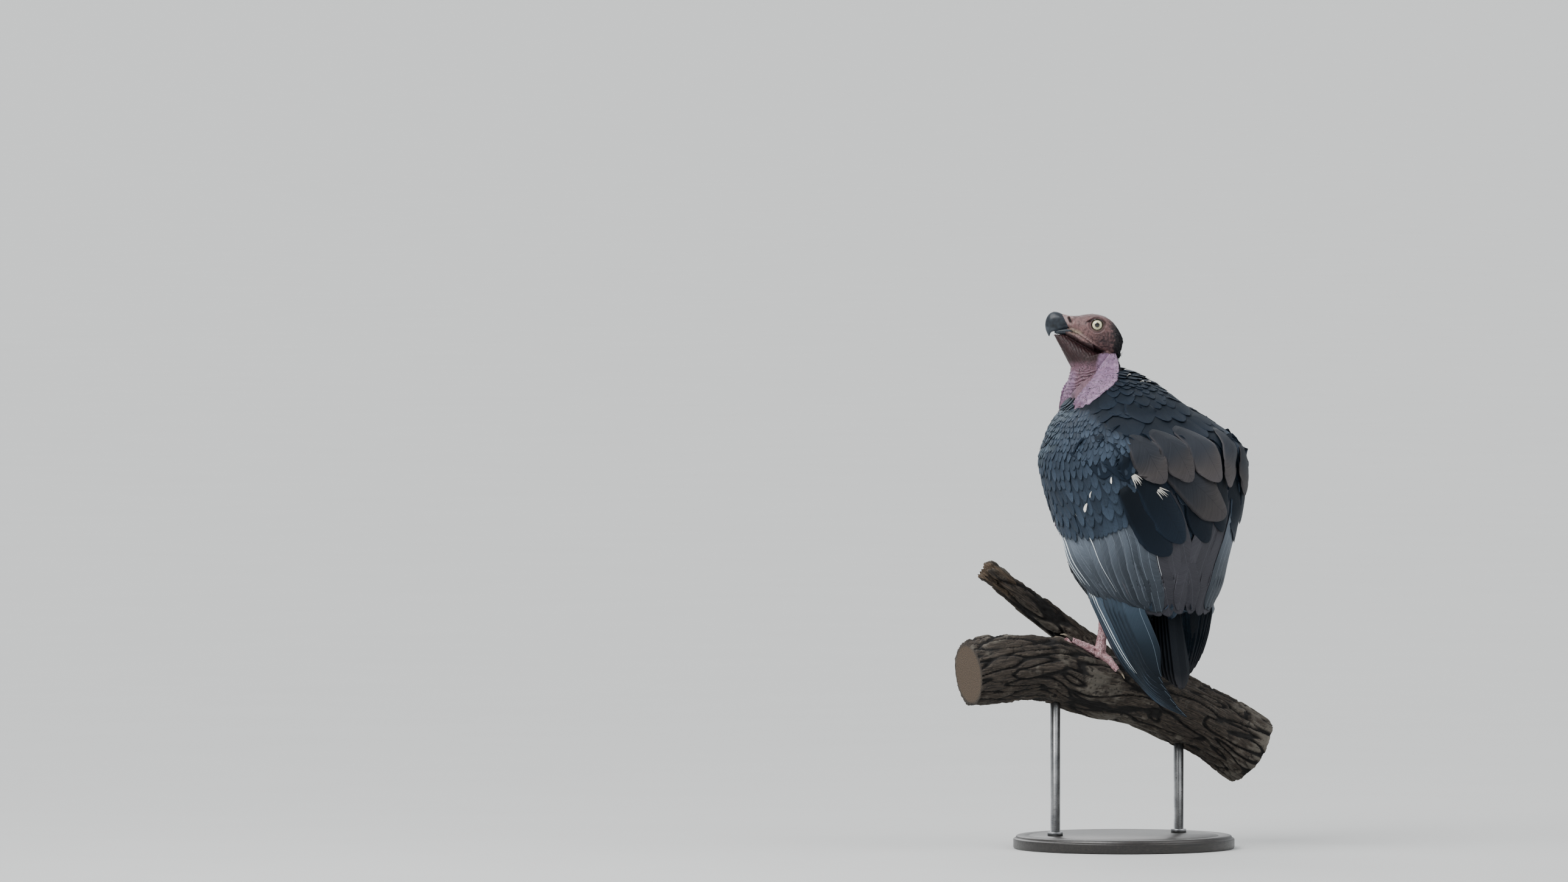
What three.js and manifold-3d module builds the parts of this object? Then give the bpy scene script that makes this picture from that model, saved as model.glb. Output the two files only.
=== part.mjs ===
// A red-headed vulture, life size, standing on a short length of broken limb on a display stand.
// Millimetres, +Z up. The bird faces -Y and its left side is +X. The floor is z = 0.
import * as THREE from "three";
import { mergeVertices } from "three/addons/utils/BufferGeometryUtils.js";
import Module from "manifold-3d";

const wasm = await Module();
wasm.setup();

// ---------------------------------------------------------------- driving dimensions
const GAP = 0.45; // how far a neighbour is swelled before it is cut away; leaves about 0.3
const CRUMB = 0.002; // cubic millimetres that rounding may leave between two bodies
const STANCE = 60; // from the mid-plane to each foot
const FOOT_PLACES = { left: [STANCE - 2, 8], right: [-STANCE, 20] };
const TOES_OUT = 30; // degrees each foot is turned outwards
const EYE_LEVEL = 945; // height of the eyes
const HEAD_TURN = 50; // degrees the head looks to the bird's left
const EYE_RADIUS = 12.5;
const EYE_OFFSET = 19.3; // from the middle of the head to an eyeball's centre
const EYE_OPENING = 15; // radius of the ball that hollows each orbit
const COVERT_EDGE = 570; // height where the greater coverts end over the flight feathers
const ARM_THICKNESS = 34;
const QUILL_THICKNESS = 11; // the stacked secondaries
const TIP_THICKNESS = 4.5; // the stacked primaries near their tips
const WING_TIP_LEFT = [15, 200, 242];
const WING_TIP_RIGHT = [-42, 128, 298];
const TAIL_HALF_WIDTH = 37;
const TAIL_THICKNESS = 8;
const TOE_RADIUS = 8.2;
const CLAW_LENGTH = 24;
const LIMB_TURN = 15; // degrees the limb is turned from square across the bird
const BASE_RADIUS = 200;
const BASE_THICKNESS = 24;
const BASE_CENTRE = [15, 25];
const ROD_RADIUS = 9;
const ROD_PLACES = [[128, -34], [-112, 30]];

// The folded bird's outline at a height: half width, reach to the front and to the back, and
// where along Y it is widest.
const PLUMAGE = table([
  // height, half width, front, back, middle
  [242, 16, 12, 14, 188],
  [302, 36, 40, 50, 120],
  [353, 74, 64, 64, 108],
  [408, 100, 80, 80, 95],
  [440, 112, 86, 86, 91],
  [474, 132, 98, 98, 85],
  [519, 152, 115, 115, 72],
  [564, 164, 124, 124, 72],
  [610, 176, 134, 134, 66],
  [651, 186, 142, 142, 62],
  [702, 191, 152, 146, 58],
  [731, 179, 150, 148, 56],
  [767, 150, 130, 128, 36],
  [784, 128, 118, 118, 26],
  [800, 104, 100, 100, 16],
]);
const PLUMAGE_SQUARENESS = 2.6;

// The trunk from the vent up to the ruff: each ring's height, half width, front, back, middle of
// Y, middle of X, and how steeply the ring rises to the back.
const TRUNK = [
  [392, 30, 20, 16, 118, 0, 0],
  [420, 56, 40, 26, 108, 0, 0],
  [448, 90, 76, 40, 98, 0, 0],
  [480, 124, 118, 74, 86, 0, 0],
  [519, 146, 132, 113, 74, 0, 0],
  [558, 160, 138, 122, 72, 0, 0],
  [590, 170, 146, 130, 68, 0, 0],
  [630, 180, 154, 138, 64, 0, 0],
  [680, 188, 166, 145, 59, 0, 0],
  [722, 180, 166, 148, 54, 0, 0.03],
  [750, 150, 146, 128, 28, 2, 0.14],
  [774, 120, 119, 108, 4, 6, 0.33],
  [800, 88, 86, 86, -30, 14, 0.57],
  [828, 60, 56, 58, -52, 22, 0.8],
];

// The head's side outline, forward and up from the eyes: top, bottom, half width.
const SKULL = [
  [[-46, -28], [-44, -42], 8],
  [[-43.6, -20.7], [-40, -53], 20],
  [[-36.5, -6.6], [-34, -58], 27],
  [[-26, 6.5], [-22, -57], 31],
  [[-12, 15.2], [-8, -52], 32.5],
  [[6, 19.2], [8, -44], 31],
  [[20, 18.4], [22, -34], 26.5],
  [[34, 16], [34, -25], 21.5],
  [[48, 16], [42, -16], 17.5],
  [[57, 18], [47, -10.5], 15.2],
  [[64, 20], [50.6, -6.5], 14],
];
const UPPER_BILL = [
  [[64.4, 20.2], [51, -6.7], 13.7],
  [[72, 23], [60, -9.5], 13.5],
  [[79, 23.3], [70, -11.5], 12.4],
  [[86, 19.5], [78, -12.5], 10.6],
  [[91, 12], [81.5, -13.5], 8.3],
  [[93.5, 2], [83, -14.5], 6.1],
  [[92.8, -8], [84, -16.5], 4.1],
  [[90, -15.5], [85, -19], 2.3],
  [[87.2, -21], [86, -21.8], 0.7],
];
const LOWER_BILL = [
  [[44, -8], [41, -22], 12.5],
  [[56, -8], [54, -20.5], 11.8],
  [[68, -10], [66, -20], 10],
  [[76, -12], [75, -18.8], 7],
  [[81.5, -14.6], [81, -17.5], 2.6],
];
// Front, back, half width, shift sideways.
const THROAT = [
  [[80, -18], [56, -18], 6.5, 0],
  [[74.4, -25], [44, -26], 12, 0],
  [[67.3, -39], [26, -36], 18, 0],
  [[58.9, -54], [6, -46], 24, 0],
  [[51.9, -68], [-14, -54], 28, 0],
  [[47.3, -77.5], [-30, -60], 31, 0],
];
const NECK = [
  [[47.2, -78.2], [-36, -58], 31, 0],
  [[50, -92], [-37, -78], 33, -1],
  [[54, -106], [-36, -99], 36, -4],
  [[60, -126], [-34, -122], 40, -10],
  [[66, -152], [-32, -148], 44, -18],
  [[66, -176], [-30, -172], 46, -24],
];
// Each lappet between its free hind edge and its fore edge: forward, up, sideways.
const LAPPET_LEFT = {
  hind: [[-34, -52, 27], [-39, -70, 31], [-36, -97, 36], [-8, -122, 39], [20, -144, 31],
    [50, -165, 13]],
  fore: [[-22, -52, 30], [-6, -72, 36], [8, -92, 39], [26, -114, 40], [44, -140, 34],
    [58, -161, 15]],
  half: 4.5,
};
const LAPPET_RIGHT = {
  hind: [[-30, -54, -27], [-28, -76, -34], [-10, -100, -40], [18, -122, -44], [42, -146, -46],
    [56, -162, -44]],
  fore: [[-14, -54, -31], [12, -78, -36], [38, -94, -34], [57, -108, -28], [66, -130, -28],
    [68, -152, -30]],
  half: 4.5,
};

// Along the limb from the bird's left to its right: distance, height of its middle, radius.
const LIMB_PATH = [
  [-303, 319, 58],
  [-220, 328, 60],
  [-144, 326, 60],
  [-75, 300, 56],
  [0, 287, 56],
  [80, 264, 60],
  [160, 230, 62],
  [263, 170, 62],
];
const STUB = {
  path: [[-6, -26, 312], [40, -62, 370], [130, -80, 434], [240, -102, 506]],
  base: 29,
  tip: 19,
};

// ---------------------------------------------------------------- shape tools
const V = (x, y, z) => new THREE.Vector3(x, y, z);
const rad = THREE.MathUtils.degToRad;
const lerp = THREE.MathUtils.lerp;

// Rows of [key, value, ...] as a smooth function of the key, level beyond both ends.
function table(rows) {
  const slope = (i, k) => {
    const a = rows[Math.max(0, i - 1)];
    const b = rows[Math.min(rows.length - 1, i + 1)];
    return (b[k] - a[k]) / (b[0] - a[0]);
  };
  return (key) => {
    const t = Math.min(Math.max(key, rows[0][0]), rows[rows.length - 1][0]);
    let i = 0;
    while (i < rows.length - 2 && t > rows[i + 1][0]) i++;
    const span = rows[i + 1][0] - rows[i][0];
    const u = (t - rows[i][0]) / span;
    return rows[i].slice(1).map((_, j) => {
      const k = j + 1;
      return (
        (2 * u ** 3 - 3 * u ** 2 + 1) * rows[i][k] +
        (u ** 3 - 2 * u ** 2 + u) * span * slope(i, k) +
        (3 * u ** 2 - 2 * u ** 3) * rows[i + 1][k] +
        (u ** 3 - u ** 2) * span * slope(i + 1, k)
      );
    });
  };
}

// A signed power, for the corners of squared-off ellipses.
const power = (v, e) => Math.sign(v) * Math.abs(v) ** e;

// A squared-off ellipse about a centre, along two half axes.
function oval(centre, along, across, count, squareness = 2) {
  const e = 2 / squareness;
  return Array.from({ length: count }, (_, i) => {
    const a = (2 * Math.PI * i) / count;
    return centre
      .clone()
      .addScaledVector(along, power(Math.cos(a), e))
      .addScaledVector(across, power(Math.sin(a), e));
  });
}

// A closed skin through rings of equal length, with a fan over each end.
function skin(rings) {
  const n = rings[0].length;
  const points = rings.flat();
  const index = [];
  rings.slice(1).forEach((_, r) => {
    for (let i = 0; i < n; i++) {
      const a = r * n + i;
      const b = r * n + ((i + 1) % n);
      index.push(a, b, b + n, a, b + n, a + n);
    }
  });
  for (const r of [0, rings.length - 1]) {
    const hub = points.length;
    const sum = rings[r].reduce((s, p) => s.add(p), V(0, 0, 0));
    points.push(sum.divideScalar(n));
    for (let i = 0; i < n; i++) {
      const a = r * n + i;
      const b = r * n + ((i + 1) % n);
      index.push(...(r ? [a, b, hub] : [b, a, hub]));
    }
  }
  return facing(points, index);
}

// A manifold solid from points and triangles, turned to face outwards.
function facing(points, index) {
  let volume = 0;
  for (let i = 0; i < index.length; i += 3) {
    const [a, b, c] = [points[index[i]], points[index[i + 1]], points[index[i + 2]]];
    volume += a.dot(b.clone().cross(c));
  }
  if (volume < 0) index.reverse();
  return new wasm.Manifold(
    new wasm.Mesh({
      numProp: 3,
      vertProperties: Float32Array.from(points.flatMap((p) => [p.x, p.y, p.z])),
      triVerts: Uint32Array.from(index),
    }),
  );
}

// A manifold solid from one of three.js's closed geometries.
function solid(geometry) {
  geometry.deleteAttribute("normal");
  geometry.deleteAttribute("uv");
  const merged = mergeVertices(geometry, 1e-3);
  return new wasm.Manifold(
    new wasm.Mesh({
      numProp: 3,
      vertProperties: merged.attributes.position.array,
      triVerts: Uint32Array.from(merged.index.array),
    }),
  );
}

function geometryOf(body) {
  const mesh = body.getMesh();
  const n = mesh.numProp;
  const at = new Float32Array(mesh.numVert * 3);
  for (let i = 0; i < mesh.numVert; i++) at.set(mesh.vertProperties.subarray(i * n, i * n + 3), i * 3);
  return new THREE.BufferGeometry()
    .setAttribute("position", new THREE.BufferAttribute(at, 3))
    .setIndex(new THREE.BufferAttribute(Uint32Array.from(mesh.triVerts), 1));
}

// The same body with every corner pushed out along its normal.
function swelled(body, by = GAP) {
  const g = geometryOf(body);
  g.computeVertexNormals();
  const at = g.attributes.position;
  const normal = g.attributes.normal;
  const points = Array.from({ length: at.count }, (_, i) =>
    V(at.getX(i), at.getY(i), at.getZ(i)).addScaledVector(
      V(normal.getX(i), normal.getY(i), normal.getZ(i)),
      by,
    ),
  );
  return facing(points, Array.from(g.index.array));
}

// The largest body that is left of one when its neighbours, with room round them, are cut away.
function cleared(body, ...neighbours) {
  let left = body;
  for (const other of neighbours) {
    left = left.subtract(swelled(other));
    if (left.intersect(other).volume() > CRUMB) left = left.subtract(other);
  }
  return left.decompose().reduce((a, b) => (b.volume() > a.volume() ? b : a));
}

// A limb along a curve: size(t) gives its half sizes beside and above the curve.
function along(curve, steps, count, size, squareness = 2, up = V(0, 0, 1)) {
  const rings = Array.from({ length: steps + 1 }, (_, k) => {
    const t = k / steps;
    const tangent = curve.getTangentAt(t);
    const beside = tangent.clone().cross(up).normalize();
    const above = beside.clone().cross(tangent).normalize();
    const [a, b] = size(t);
    return oval(curve.getPointAt(t), beside.multiplyScalar(a), above.multiplyScalar(b), count, squareness);
  });
  return skin(rings);
}

// A curved sheet of stated thickness on the inner side of surface(s, t).
function sheet(surface, thickness, across, down, side) {
  const step = 0.01;
  const rings = Array.from({ length: down + 1 }, (_, j) => {
    const t = j / down;
    const outer = [];
    const inner = [];
    for (let i = 0; i <= across; i++) {
      const s = i / across;
      const p = surface(s, t);
      const s0 = Math.min(s, 1 - step);
      const t0 = Math.min(t, 1 - step);
      const ds = surface(s0 + step, t0).sub(surface(s0, t0));
      const dt = surface(s0, t0 + step).sub(surface(s0, t0));
      const normal = dt.cross(ds).normalize().multiplyScalar(side);
      outer.push(p);
      inner.unshift(p.clone().addScaledVector(normal, -thickness(s, t)));
    }
    return [...outer, ...inner];
  });
  return skin(rings);
}

// ---------------------------------------------------------------- head and neck
// Head frame: forward, up and to the bird's left of the point midway between the eyes.
const HEAD_ORIGIN = V(22, -42, EYE_LEVEL);
const FORWARD = V(Math.sin(rad(HEAD_TURN)), -Math.cos(rad(HEAD_TURN)), 0);
const LEFTWARD = V(Math.cos(rad(HEAD_TURN)), Math.sin(rad(HEAD_TURN)), 0);
const UPWARD = V(0, 0, 1);
const inHead = (forward, up, left = 0) =>
  HEAD_ORIGIN.clone()
    .addScaledVector(FORWARD, forward)
    .addScaledVector(UPWARD, up)
    .addScaledVector(LEFTWARD, left);

// A body lofted through side-outline stations of the head frame.
function lofted(stations, count, squareness = 2.15) {
  return skin(
    stations.map(([top, bottom, half, shift = 0]) => {
      const a = inHead(top[0], top[1], shift);
      const b = inHead(bottom[0], bottom[1], shift);
      const centre = a.clone().lerp(b, 0.5);
      const tall = a.sub(b).multiplyScalar(0.5);
      return oval(centre, tall, LEFTWARD.clone().multiplyScalar(half), count, squareness);
    }),
  );
}

function ball(centre, radius, across = 10, down = 7) {
  const sphere = new THREE.SphereGeometry(radius, across, down);
  sphere.translate(centre.x, centre.y, centre.z);
  return solid(sphere);
}

const eyeballs = [1, -1].map((side) => ball(inHead(0, 0, side * EYE_OFFSET), EYE_RADIUS));
const upperBill = lofted(UPPER_BILL, 14, 2.3);
const lowerBill = cleared(lofted(LOWER_BILL, 12, 2.3), upperBill);

// The bony ridge that shades each eye.
function brow(side) {
  const curve = new THREE.CatmullRomCurve3([
    inHead(17, 7, side * 26),
    inHead(9, 11.5, side * 28.5),
    inHead(-2, 12.5, side * 29.5),
    inHead(-13, 8, side * 31),
  ]);
  return along(curve, 4, 6, (t) => [4.2 * Math.sin(Math.PI * (0.12 + 0.76 * t)), 3]);
}

// A slanted slot that runs through the cere as the nostril does.
function nostril(side) {
  const curve = new THREE.CatmullRomCurve3([inHead(51, 13, side * 15.5), inHead(47, 4.5, side * 16.5)]);
  return along(curve, 2, 6, (t) => [2.4, 2.4 * (0.6 + 0.5 * Math.sin(Math.PI * t))], 2, LEFTWARD);
}

function headBody() {
  let head = lofted(SKULL, 14);
  for (const side of [1, -1]) head = head.add(brow(side));
  for (const side of [1, -1]) {
    head = head.subtract(ball(inHead(0, 0, side * 40), EYE_OPENING, 10, 6)).subtract(nostril(side));
  }
  return cleared(head, lowerBill, ...eyeballs);
}

function lappetBody({ hind, fore, half }) {
  const edge = (list) => new THREE.CatmullRomCurve3(list.map(([f, u, l]) => inHead(f, u, l)));
  const hindEdge = edge(hind);
  const foreEdge = edge(fore);
  const steps = 8;
  const rings = Array.from({ length: steps + 1 }, (_, k) => {
    const t = k / steps;
    const a = hindEdge.getPoint(t);
    const b = foreEdge.getPoint(t);
    const width = a.clone().sub(b).multiplyScalar(0.5);
    const down = hindEdge.getTangent(t);
    const thick = width.clone().cross(down).normalize();
    const swell = half * (0.45 + 0.55 * Math.sin(Math.PI * (0.1 + 0.8 * t)));
    return oval(a.clone().lerp(b, 0.5), width, thick.multiplyScalar(swell), 8, 2);
  });
  return skin(rings);
}

const head = headBody();
const throat = cleared(lofted(THROAT, 12), head, lowerBill, upperBill);
const lappetLeft = lappetBody(LAPPET_LEFT);
const lappetRight = lappetBody(LAPPET_RIGHT);

// ---------------------------------------------------------------- folded wings
// A point of the folded bird's outline: angle 0 is its flank, 90 its back, -90 its breast.
function onPlumage(side, angle, height) {
  const [half, front, back, middle] = PLUMAGE(height);
  const e = 2 / PLUMAGE_SQUARENESS;
  const c = power(Math.cos(rad(angle)), e);
  const s = power(Math.sin(rad(angle)), e);
  return V(side * half * c, middle + (s < 0 ? front : back) * s, height);
}

const ARM_HIND = 56; // degrees round the outline to the arm's hind edge
const QUILLS_HIND = 82; // and to the innermost tertial
const leadingAngle = (height) => lerp(-28, -50, THREE.MathUtils.smoothstep(height, 461, 720));
// The greater coverts' lower edge, which sags over the flank.
function covertEdge(angle) {
  const s = THREE.MathUtils.clamp((angle + 40) / 96, 0, 1.25);
  return COVERT_EDGE + 7 - 17 * Math.sin(Math.PI * Math.min(1, s * 1.15)) + 20 * s ** 4;
}
const edgeAngle = (s, hind) => lerp(leadingAngle(COVERT_EDGE), hind, s);
const secondaryEnd = (s) => lerp(463, 426, s);

// The arm of the folded wing with its coverts, from the wrist down to the greater coverts' edge.
function wingArm(side) {
  const crest = (s) => 793 - 50 * THREE.MathUtils.smoothstep(s, 0.4, 1);
  const surface = (s, t) => {
    const height = lerp(crest(s), covertEdge(edgeAngle(s, ARM_HIND)), t);
    return onPlumage(side, lerp(leadingAngle(height), ARM_HIND, s), height);
  };
  const thickness = (s, t) =>
    ARM_THICKNESS * (0.3 + 0.7 * Math.sin(Math.PI * s) ** 0.7) * (1 - 0.62 * t ** 3);
  return sheet(surface, thickness, 8, 6, side);
}

// The secondaries and tertials, whose rounded ends step along their lower edge.
function wingSecondaries(side) {
  const surface = (s, t) => {
    const top = covertEdge(edgeAngle(s, QUILLS_HIND)) - 1.4;
    const step = 7 * Math.abs(Math.sin(Math.PI * s * 6));
    const height = lerp(top, secondaryEnd(s) - step, t);
    return onPlumage(side, lerp(leadingAngle(height), QUILLS_HIND, s), height);
  };
  const thickness = (s, t) => QUILL_THICKNESS * (1 - 0.45 * t) * (0.55 + 0.45 * Math.sin(Math.PI * s));
  return sheet(surface, thickness, 12, 3, side);
}

// The primaries, from under the secondaries down to the wing's tip.
function wingPrimaries(side, tip, edges) {
  const curve = (from, list) => new THREE.CatmullRomCurve3([from, ...list.map((p) => V(...p)), V(...tip)]);
  const start = (s) => {
    const height = secondaryEnd(s * 0.7) - 9;
    return onPlumage(side, lerp(leadingAngle(height), 51, s), height);
  };
  const leading = curve(start(0), edges.leading);
  const trailing = curve(start(1), edges.trailing);
  const surface = (s, t) => {
    const flat = leading.getPoint(t).lerp(trailing.getPoint(t), s);
    const bulge = start(s).sub(start(0).lerp(start(1), s));
    return flat.addScaledVector(bulge, (1 - t) ** 1.3);
  };
  const thickness = (s, t) =>
    lerp(QUILL_THICKNESS * 0.7, TIP_THICKNESS, t) * (0.6 + 0.4 * Math.sin(Math.PI * s));
  return sheet((s, t) => surface(s, 0.985 * t), thickness, 6, 8, side);
}

const LEFT_EDGES = {
  leading: [[75, 75, 353], [50, 107, 302], [35, 153, 267]],
  trailing: [[62, 174, 377], [48, 172, 322], [30, 178, 292]],
};
const RIGHT_EDGES = {
  leading: [[-88, 62, 385], [-66, 88, 330]],
  trailing: [[-68, 160, 385], [-54, 150, 330]],
};

const wings = { left: {}, right: {} };
for (const [name, side, tip, edges] of [
  ["left", 1, WING_TIP_LEFT, LEFT_EDGES],
  ["right", -1, WING_TIP_RIGHT, RIGHT_EDGES],
]) {
  const arm = wingArm(side);
  const secondaries = wingSecondaries(side);
  const primaries = wingPrimaries(side, tip, edges);
  wings[name] = { arm, secondaries, primaries };
}

// ---------------------------------------------------------------- tail
// Twelve stiff feathers closed to a narrow roof, the middle pair longest.
function tailBody() {
  const surface = (s, t) => {
    const x = lerp(-1, 1, s);
    const end = 291 + 34 * Math.abs(x) ** 1.6;
    const height = lerp(448, end, t);
    return V(x * lerp(24, TAIL_HALF_WIDTH, t), lerp(146, 168, t) - 13 * x * x, height);
  };
  const thickness = (s, t) => TAIL_THICKNESS * (1 - 0.4 * t) * (0.5 + 0.5 * Math.sin(Math.PI * s));
  return sheet(surface, thickness, 8, 4, -1);
}

// ---------------------------------------------------------------- limb
// Ridged, knotty bark as a share of the radius.
const bark = (a, k) =>
  1 + 0.035 * Math.sin(5 * a + 0.7 * k) + 0.02 * Math.sin(9 * a - 1.3 * k) + 0.02 * Math.sin(1.9 * k);

function barked(centres, count) {
  const rings = centres.map(({ at, radius, tangent }, k) => {
    const beside = tangent.clone().cross(V(0, 0, 1)).normalize();
    const above = beside.clone().cross(tangent).normalize();
    return Array.from({ length: count }, (_, i) => {
      const a = (2 * Math.PI * i) / count;
      const r = radius * bark(a, k);
      return at
        .clone()
        .addScaledVector(beside, r * Math.cos(a))
        .addScaledVector(above, r * Math.sin(a));
    });
  });
  return skin(rings);
}

const limbRun = new THREE.CatmullRomCurve3(
  LIMB_PATH.map(([distance, height]) =>
    V(-distance * Math.cos(rad(LIMB_TURN)), distance * Math.sin(rad(LIMB_TURN)) - 4, height),
  ),
);
const limbRadius = table(LIMB_PATH.map(([, , r], i) => [i / (LIMB_PATH.length - 1), r]));

const limbSteps = 14;
const log = barked(
  Array.from({ length: limbSteps + 1 }, (_, k) => {
    const t = k / limbSteps;
    return { at: limbRun.getPoint(t), radius: limbRadius(t)[0], tangent: limbRun.getTangent(t) };
  }),
  16,
);
const logSurface = new THREE.Mesh(geometryOf(log), new THREE.MeshBasicMaterial());

// Height of the limb's upper side over a point of the ground; past its sides, of its middle.
function limbTop(x, y) {
  const ray = new THREE.Raycaster(V(x, y, 1000), V(0, 0, -1));
  const [hit] = ray.intersectObject(logSurface);
  if (hit) return hit.point.z;
  const distance = -x / Math.cos(rad(LIMB_TURN));
  return table(LIMB_PATH)(distance)[0];
}

function limbBody() {
  const run = new THREE.CatmullRomCurve3(STUB.path.map((p) => V(...p)));
  const steps = 6;
  const stub = barked(
    Array.from({ length: steps + 1 }, (_, k) => {
      const t = k / steps;
      return { at: run.getPoint(t), radius: lerp(STUB.base, STUB.tip, t), tangent: run.getTangent(t) };
    }),
    11,
  );
  return log.add(stub);
}

// ---------------------------------------------------------------- legs
// The feathered thigh, hanging as a trouser over the heel.
function thighBody(side) {
  const curve = new THREE.CatmullRomCurve3([
    V(side * (STANCE + 10), -6, 574),
    V(side * (STANCE + 6), -8, 520),
    V(side * STANCE, 10, 470),
    V(side * STANCE, 22, 432),
  ]);
  const size = table([[0, 44, 50], [0.3, 47, 56], [0.65, 34, 42], [0.9, 22, 25], [1, 14, 16]]);
  return along(curve, 7, 10, size, 2, V(0, 1, 0));
}

// The bare shank, knuckled at the heel and at the foot.
function shankBody(side, [x, y]) {
  const curve = new THREE.CatmullRomCurve3([
    V(side * STANCE, 22, 448),
    V(side * STANCE, lerp(22, y, 0.35) + 4, 418),
    V(x, y + 2, limbTop(x, y) + 16),
  ]);
  const size = table([[0, 11.5, 13], [0.25, 9, 10.5], [0.7, 8, 9], [1, 11, 10.5]]);
  return along(curve, 5, 9, size, 2.2, V(0, 1, 0));
}

// Toes as [turn from straight ahead in degrees, length]; the last is the hind toe.
const TOES = [[0, 62], [-34, 40], [36, 48], [176, 30]];

function toeCurve(side, [x, y], [turn, length]) {
  const heading = rad(turn + TOES_OUT);
  const points = [0, 0.35, 0.7, 1].map((t) => {
    const reach = 5 + t * length;
    const p = V(x + side * Math.sin(heading) * reach, y - Math.cos(heading) * reach, 0);
    return p.setZ(limbTop(p.x, p.y) + TOE_RADIUS * (1.1 - 0.25 * t));
  });
  return new THREE.CatmullRomCurve3(points);
}

function clawBody(side, place, toe) {
  const curve = toeCurve(side, place, toe);
  const root = curve.getPointAt(1);
  const ahead = curve.getTangentAt(1);
  const reach = toe[1] < 40 ? CLAW_LENGTH * 0.85 : CLAW_LENGTH;
  const end = root.clone().addScaledVector(ahead, reach);
  end.setZ(Math.max(end.z, limbTop(end.x, end.y)) + 1);
  const bow = new THREE.QuadraticBezierCurve3(
    root.clone().addScaledVector(ahead, -3),
    root.clone().lerp(end, 0.6).add(V(0, 0, 8)),
    end,
  );
  return along(bow, 4, 5, (t) => [lerp(3.6, 0.7, t), lerp(4.4, 0.8, t)]);
}

function footBody(side, place, claws) {
  let foot = ball(V(place[0], place[1], limbTop(...place) + 9), 13, 7, 4);
  for (const toe of TOES) {
    const size = (t) => {
      const pad = 1 + 0.1 * Math.cos(t * Math.PI * 6);
      return [TOE_RADIUS * lerp(1.02, 0.74, t) * pad, TOE_RADIUS * lerp(1, 0.72, t) * pad];
    };
    foot = foot.add(along(toeCurve(side, place, toe), 3, 5, size));
  }
  return cleared(foot, ...claws);
}

const limb = limbBody();
const legs = [["left", 1], ["right", -1]].map(([name, side]) => {
  const place = FOOT_PLACES[name];
  const claws = TOES.map((toe) => cleared(clawBody(side, place, toe), limb));
  const shank = shankBody(side, place);
  const foot = cleared(footBody(side, place, claws), limb, shank);
  return { name, claws, foot, shank, thigh: thighBody(side) };
});

// ---------------------------------------------------------------- stand
const rods = ROD_PLACES.map(([x, y], i) => {
  const top = i ? 218 : 290;
  const rod = new THREE.CylinderGeometry(ROD_RADIUS, ROD_RADIUS, top - 10, 12);
  rod.rotateX(Math.PI / 2);
  rod.translate(x, y, (top + 10) / 2);
  return solid(rod);
});

function baseBody() {
  const chamfer = 5;
  const outline = [
    [0, 0],
    [BASE_RADIUS - 2, 0],
    [BASE_RADIUS, 2],
    [BASE_RADIUS, BASE_THICKNESS - chamfer],
    [BASE_RADIUS - chamfer, BASE_THICKNESS],
    [0, BASE_THICKNESS],
  ].map(([r, h]) => new THREE.Vector2(r, h));
  const disc = new THREE.LatheGeometry(outline, 24);
  disc.rotateX(Math.PI / 2);
  disc.translate(BASE_CENTRE[0], BASE_CENTRE[1], 0);
  return cleared(solid(disc), ...rods);
}

const perch = cleared(limb, ...rods);

// ---------------------------------------------------------------- trunk and neck
// How deep the trunk lies in under the folded wings: at a height, then at an angle round it.
const sunk = table([
  [392, 0],
  [440, 9],
  [550, 9],
  [580, 26],
  [722, 30],
  [750, 26],
  [774, 14],
  [795, 0],
]);
function underWing(angle, height) {
  const { smoothstep, clamp } = THREE.MathUtils;
  const lead = leadingAngle(height);
  const hind = lerp(QUILLS_HIND, ARM_HIND, smoothstep(height, 606, 652));
  const s = clamp((angle - lead) / (hind - lead), 0, 1);
  const beyond = smoothstep(angle, lead - 14, lead) * (1 - smoothstep(angle, hind, hind + 10));
  return beyond * sunk(height)[0] * (0.4 + 0.6 * Math.sin(Math.PI * s) ** 0.7);
}

function trunkBody() {
  const count = 26;
  const rings = TRUNK.map(([height, half, front, back, middle, shift, rise]) =>
    Array.from({ length: count }, (_, i) => {
      const a = (2 * Math.PI * i) / count;
      const ahead = Math.sin(a) < 0;
      const angle = THREE.MathUtils.radToDeg(Math.asin(Math.sin(a)));
      const inset = underWing(angle, height);
      const e = 2 / (ahead ? 2 : PLUMAGE_SQUARENESS);
      const y = ((ahead ? front : back) - inset) * power(Math.sin(a), e);
      return V(shift + (half - inset) * power(Math.cos(a), e), middle + y, height + rise * y);
    }),
  );
  return skin(rings);
}

const neck = cleared(lofted(NECK, 14), lappetLeft, lappetRight, head, throat);
const trunk = cleared(trunkBody(), neck, lappetLeft, lappetRight);
const tail = cleared(tailBody(), trunk);
const thighs = legs.map(({ thigh, shank }) => cleared(thigh, trunk, shank));
for (const wing of Object.values(wings)) {
  for (const part of Object.keys(wing)) wing[part] = cleared(wing[part], trunk);
}

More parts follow.
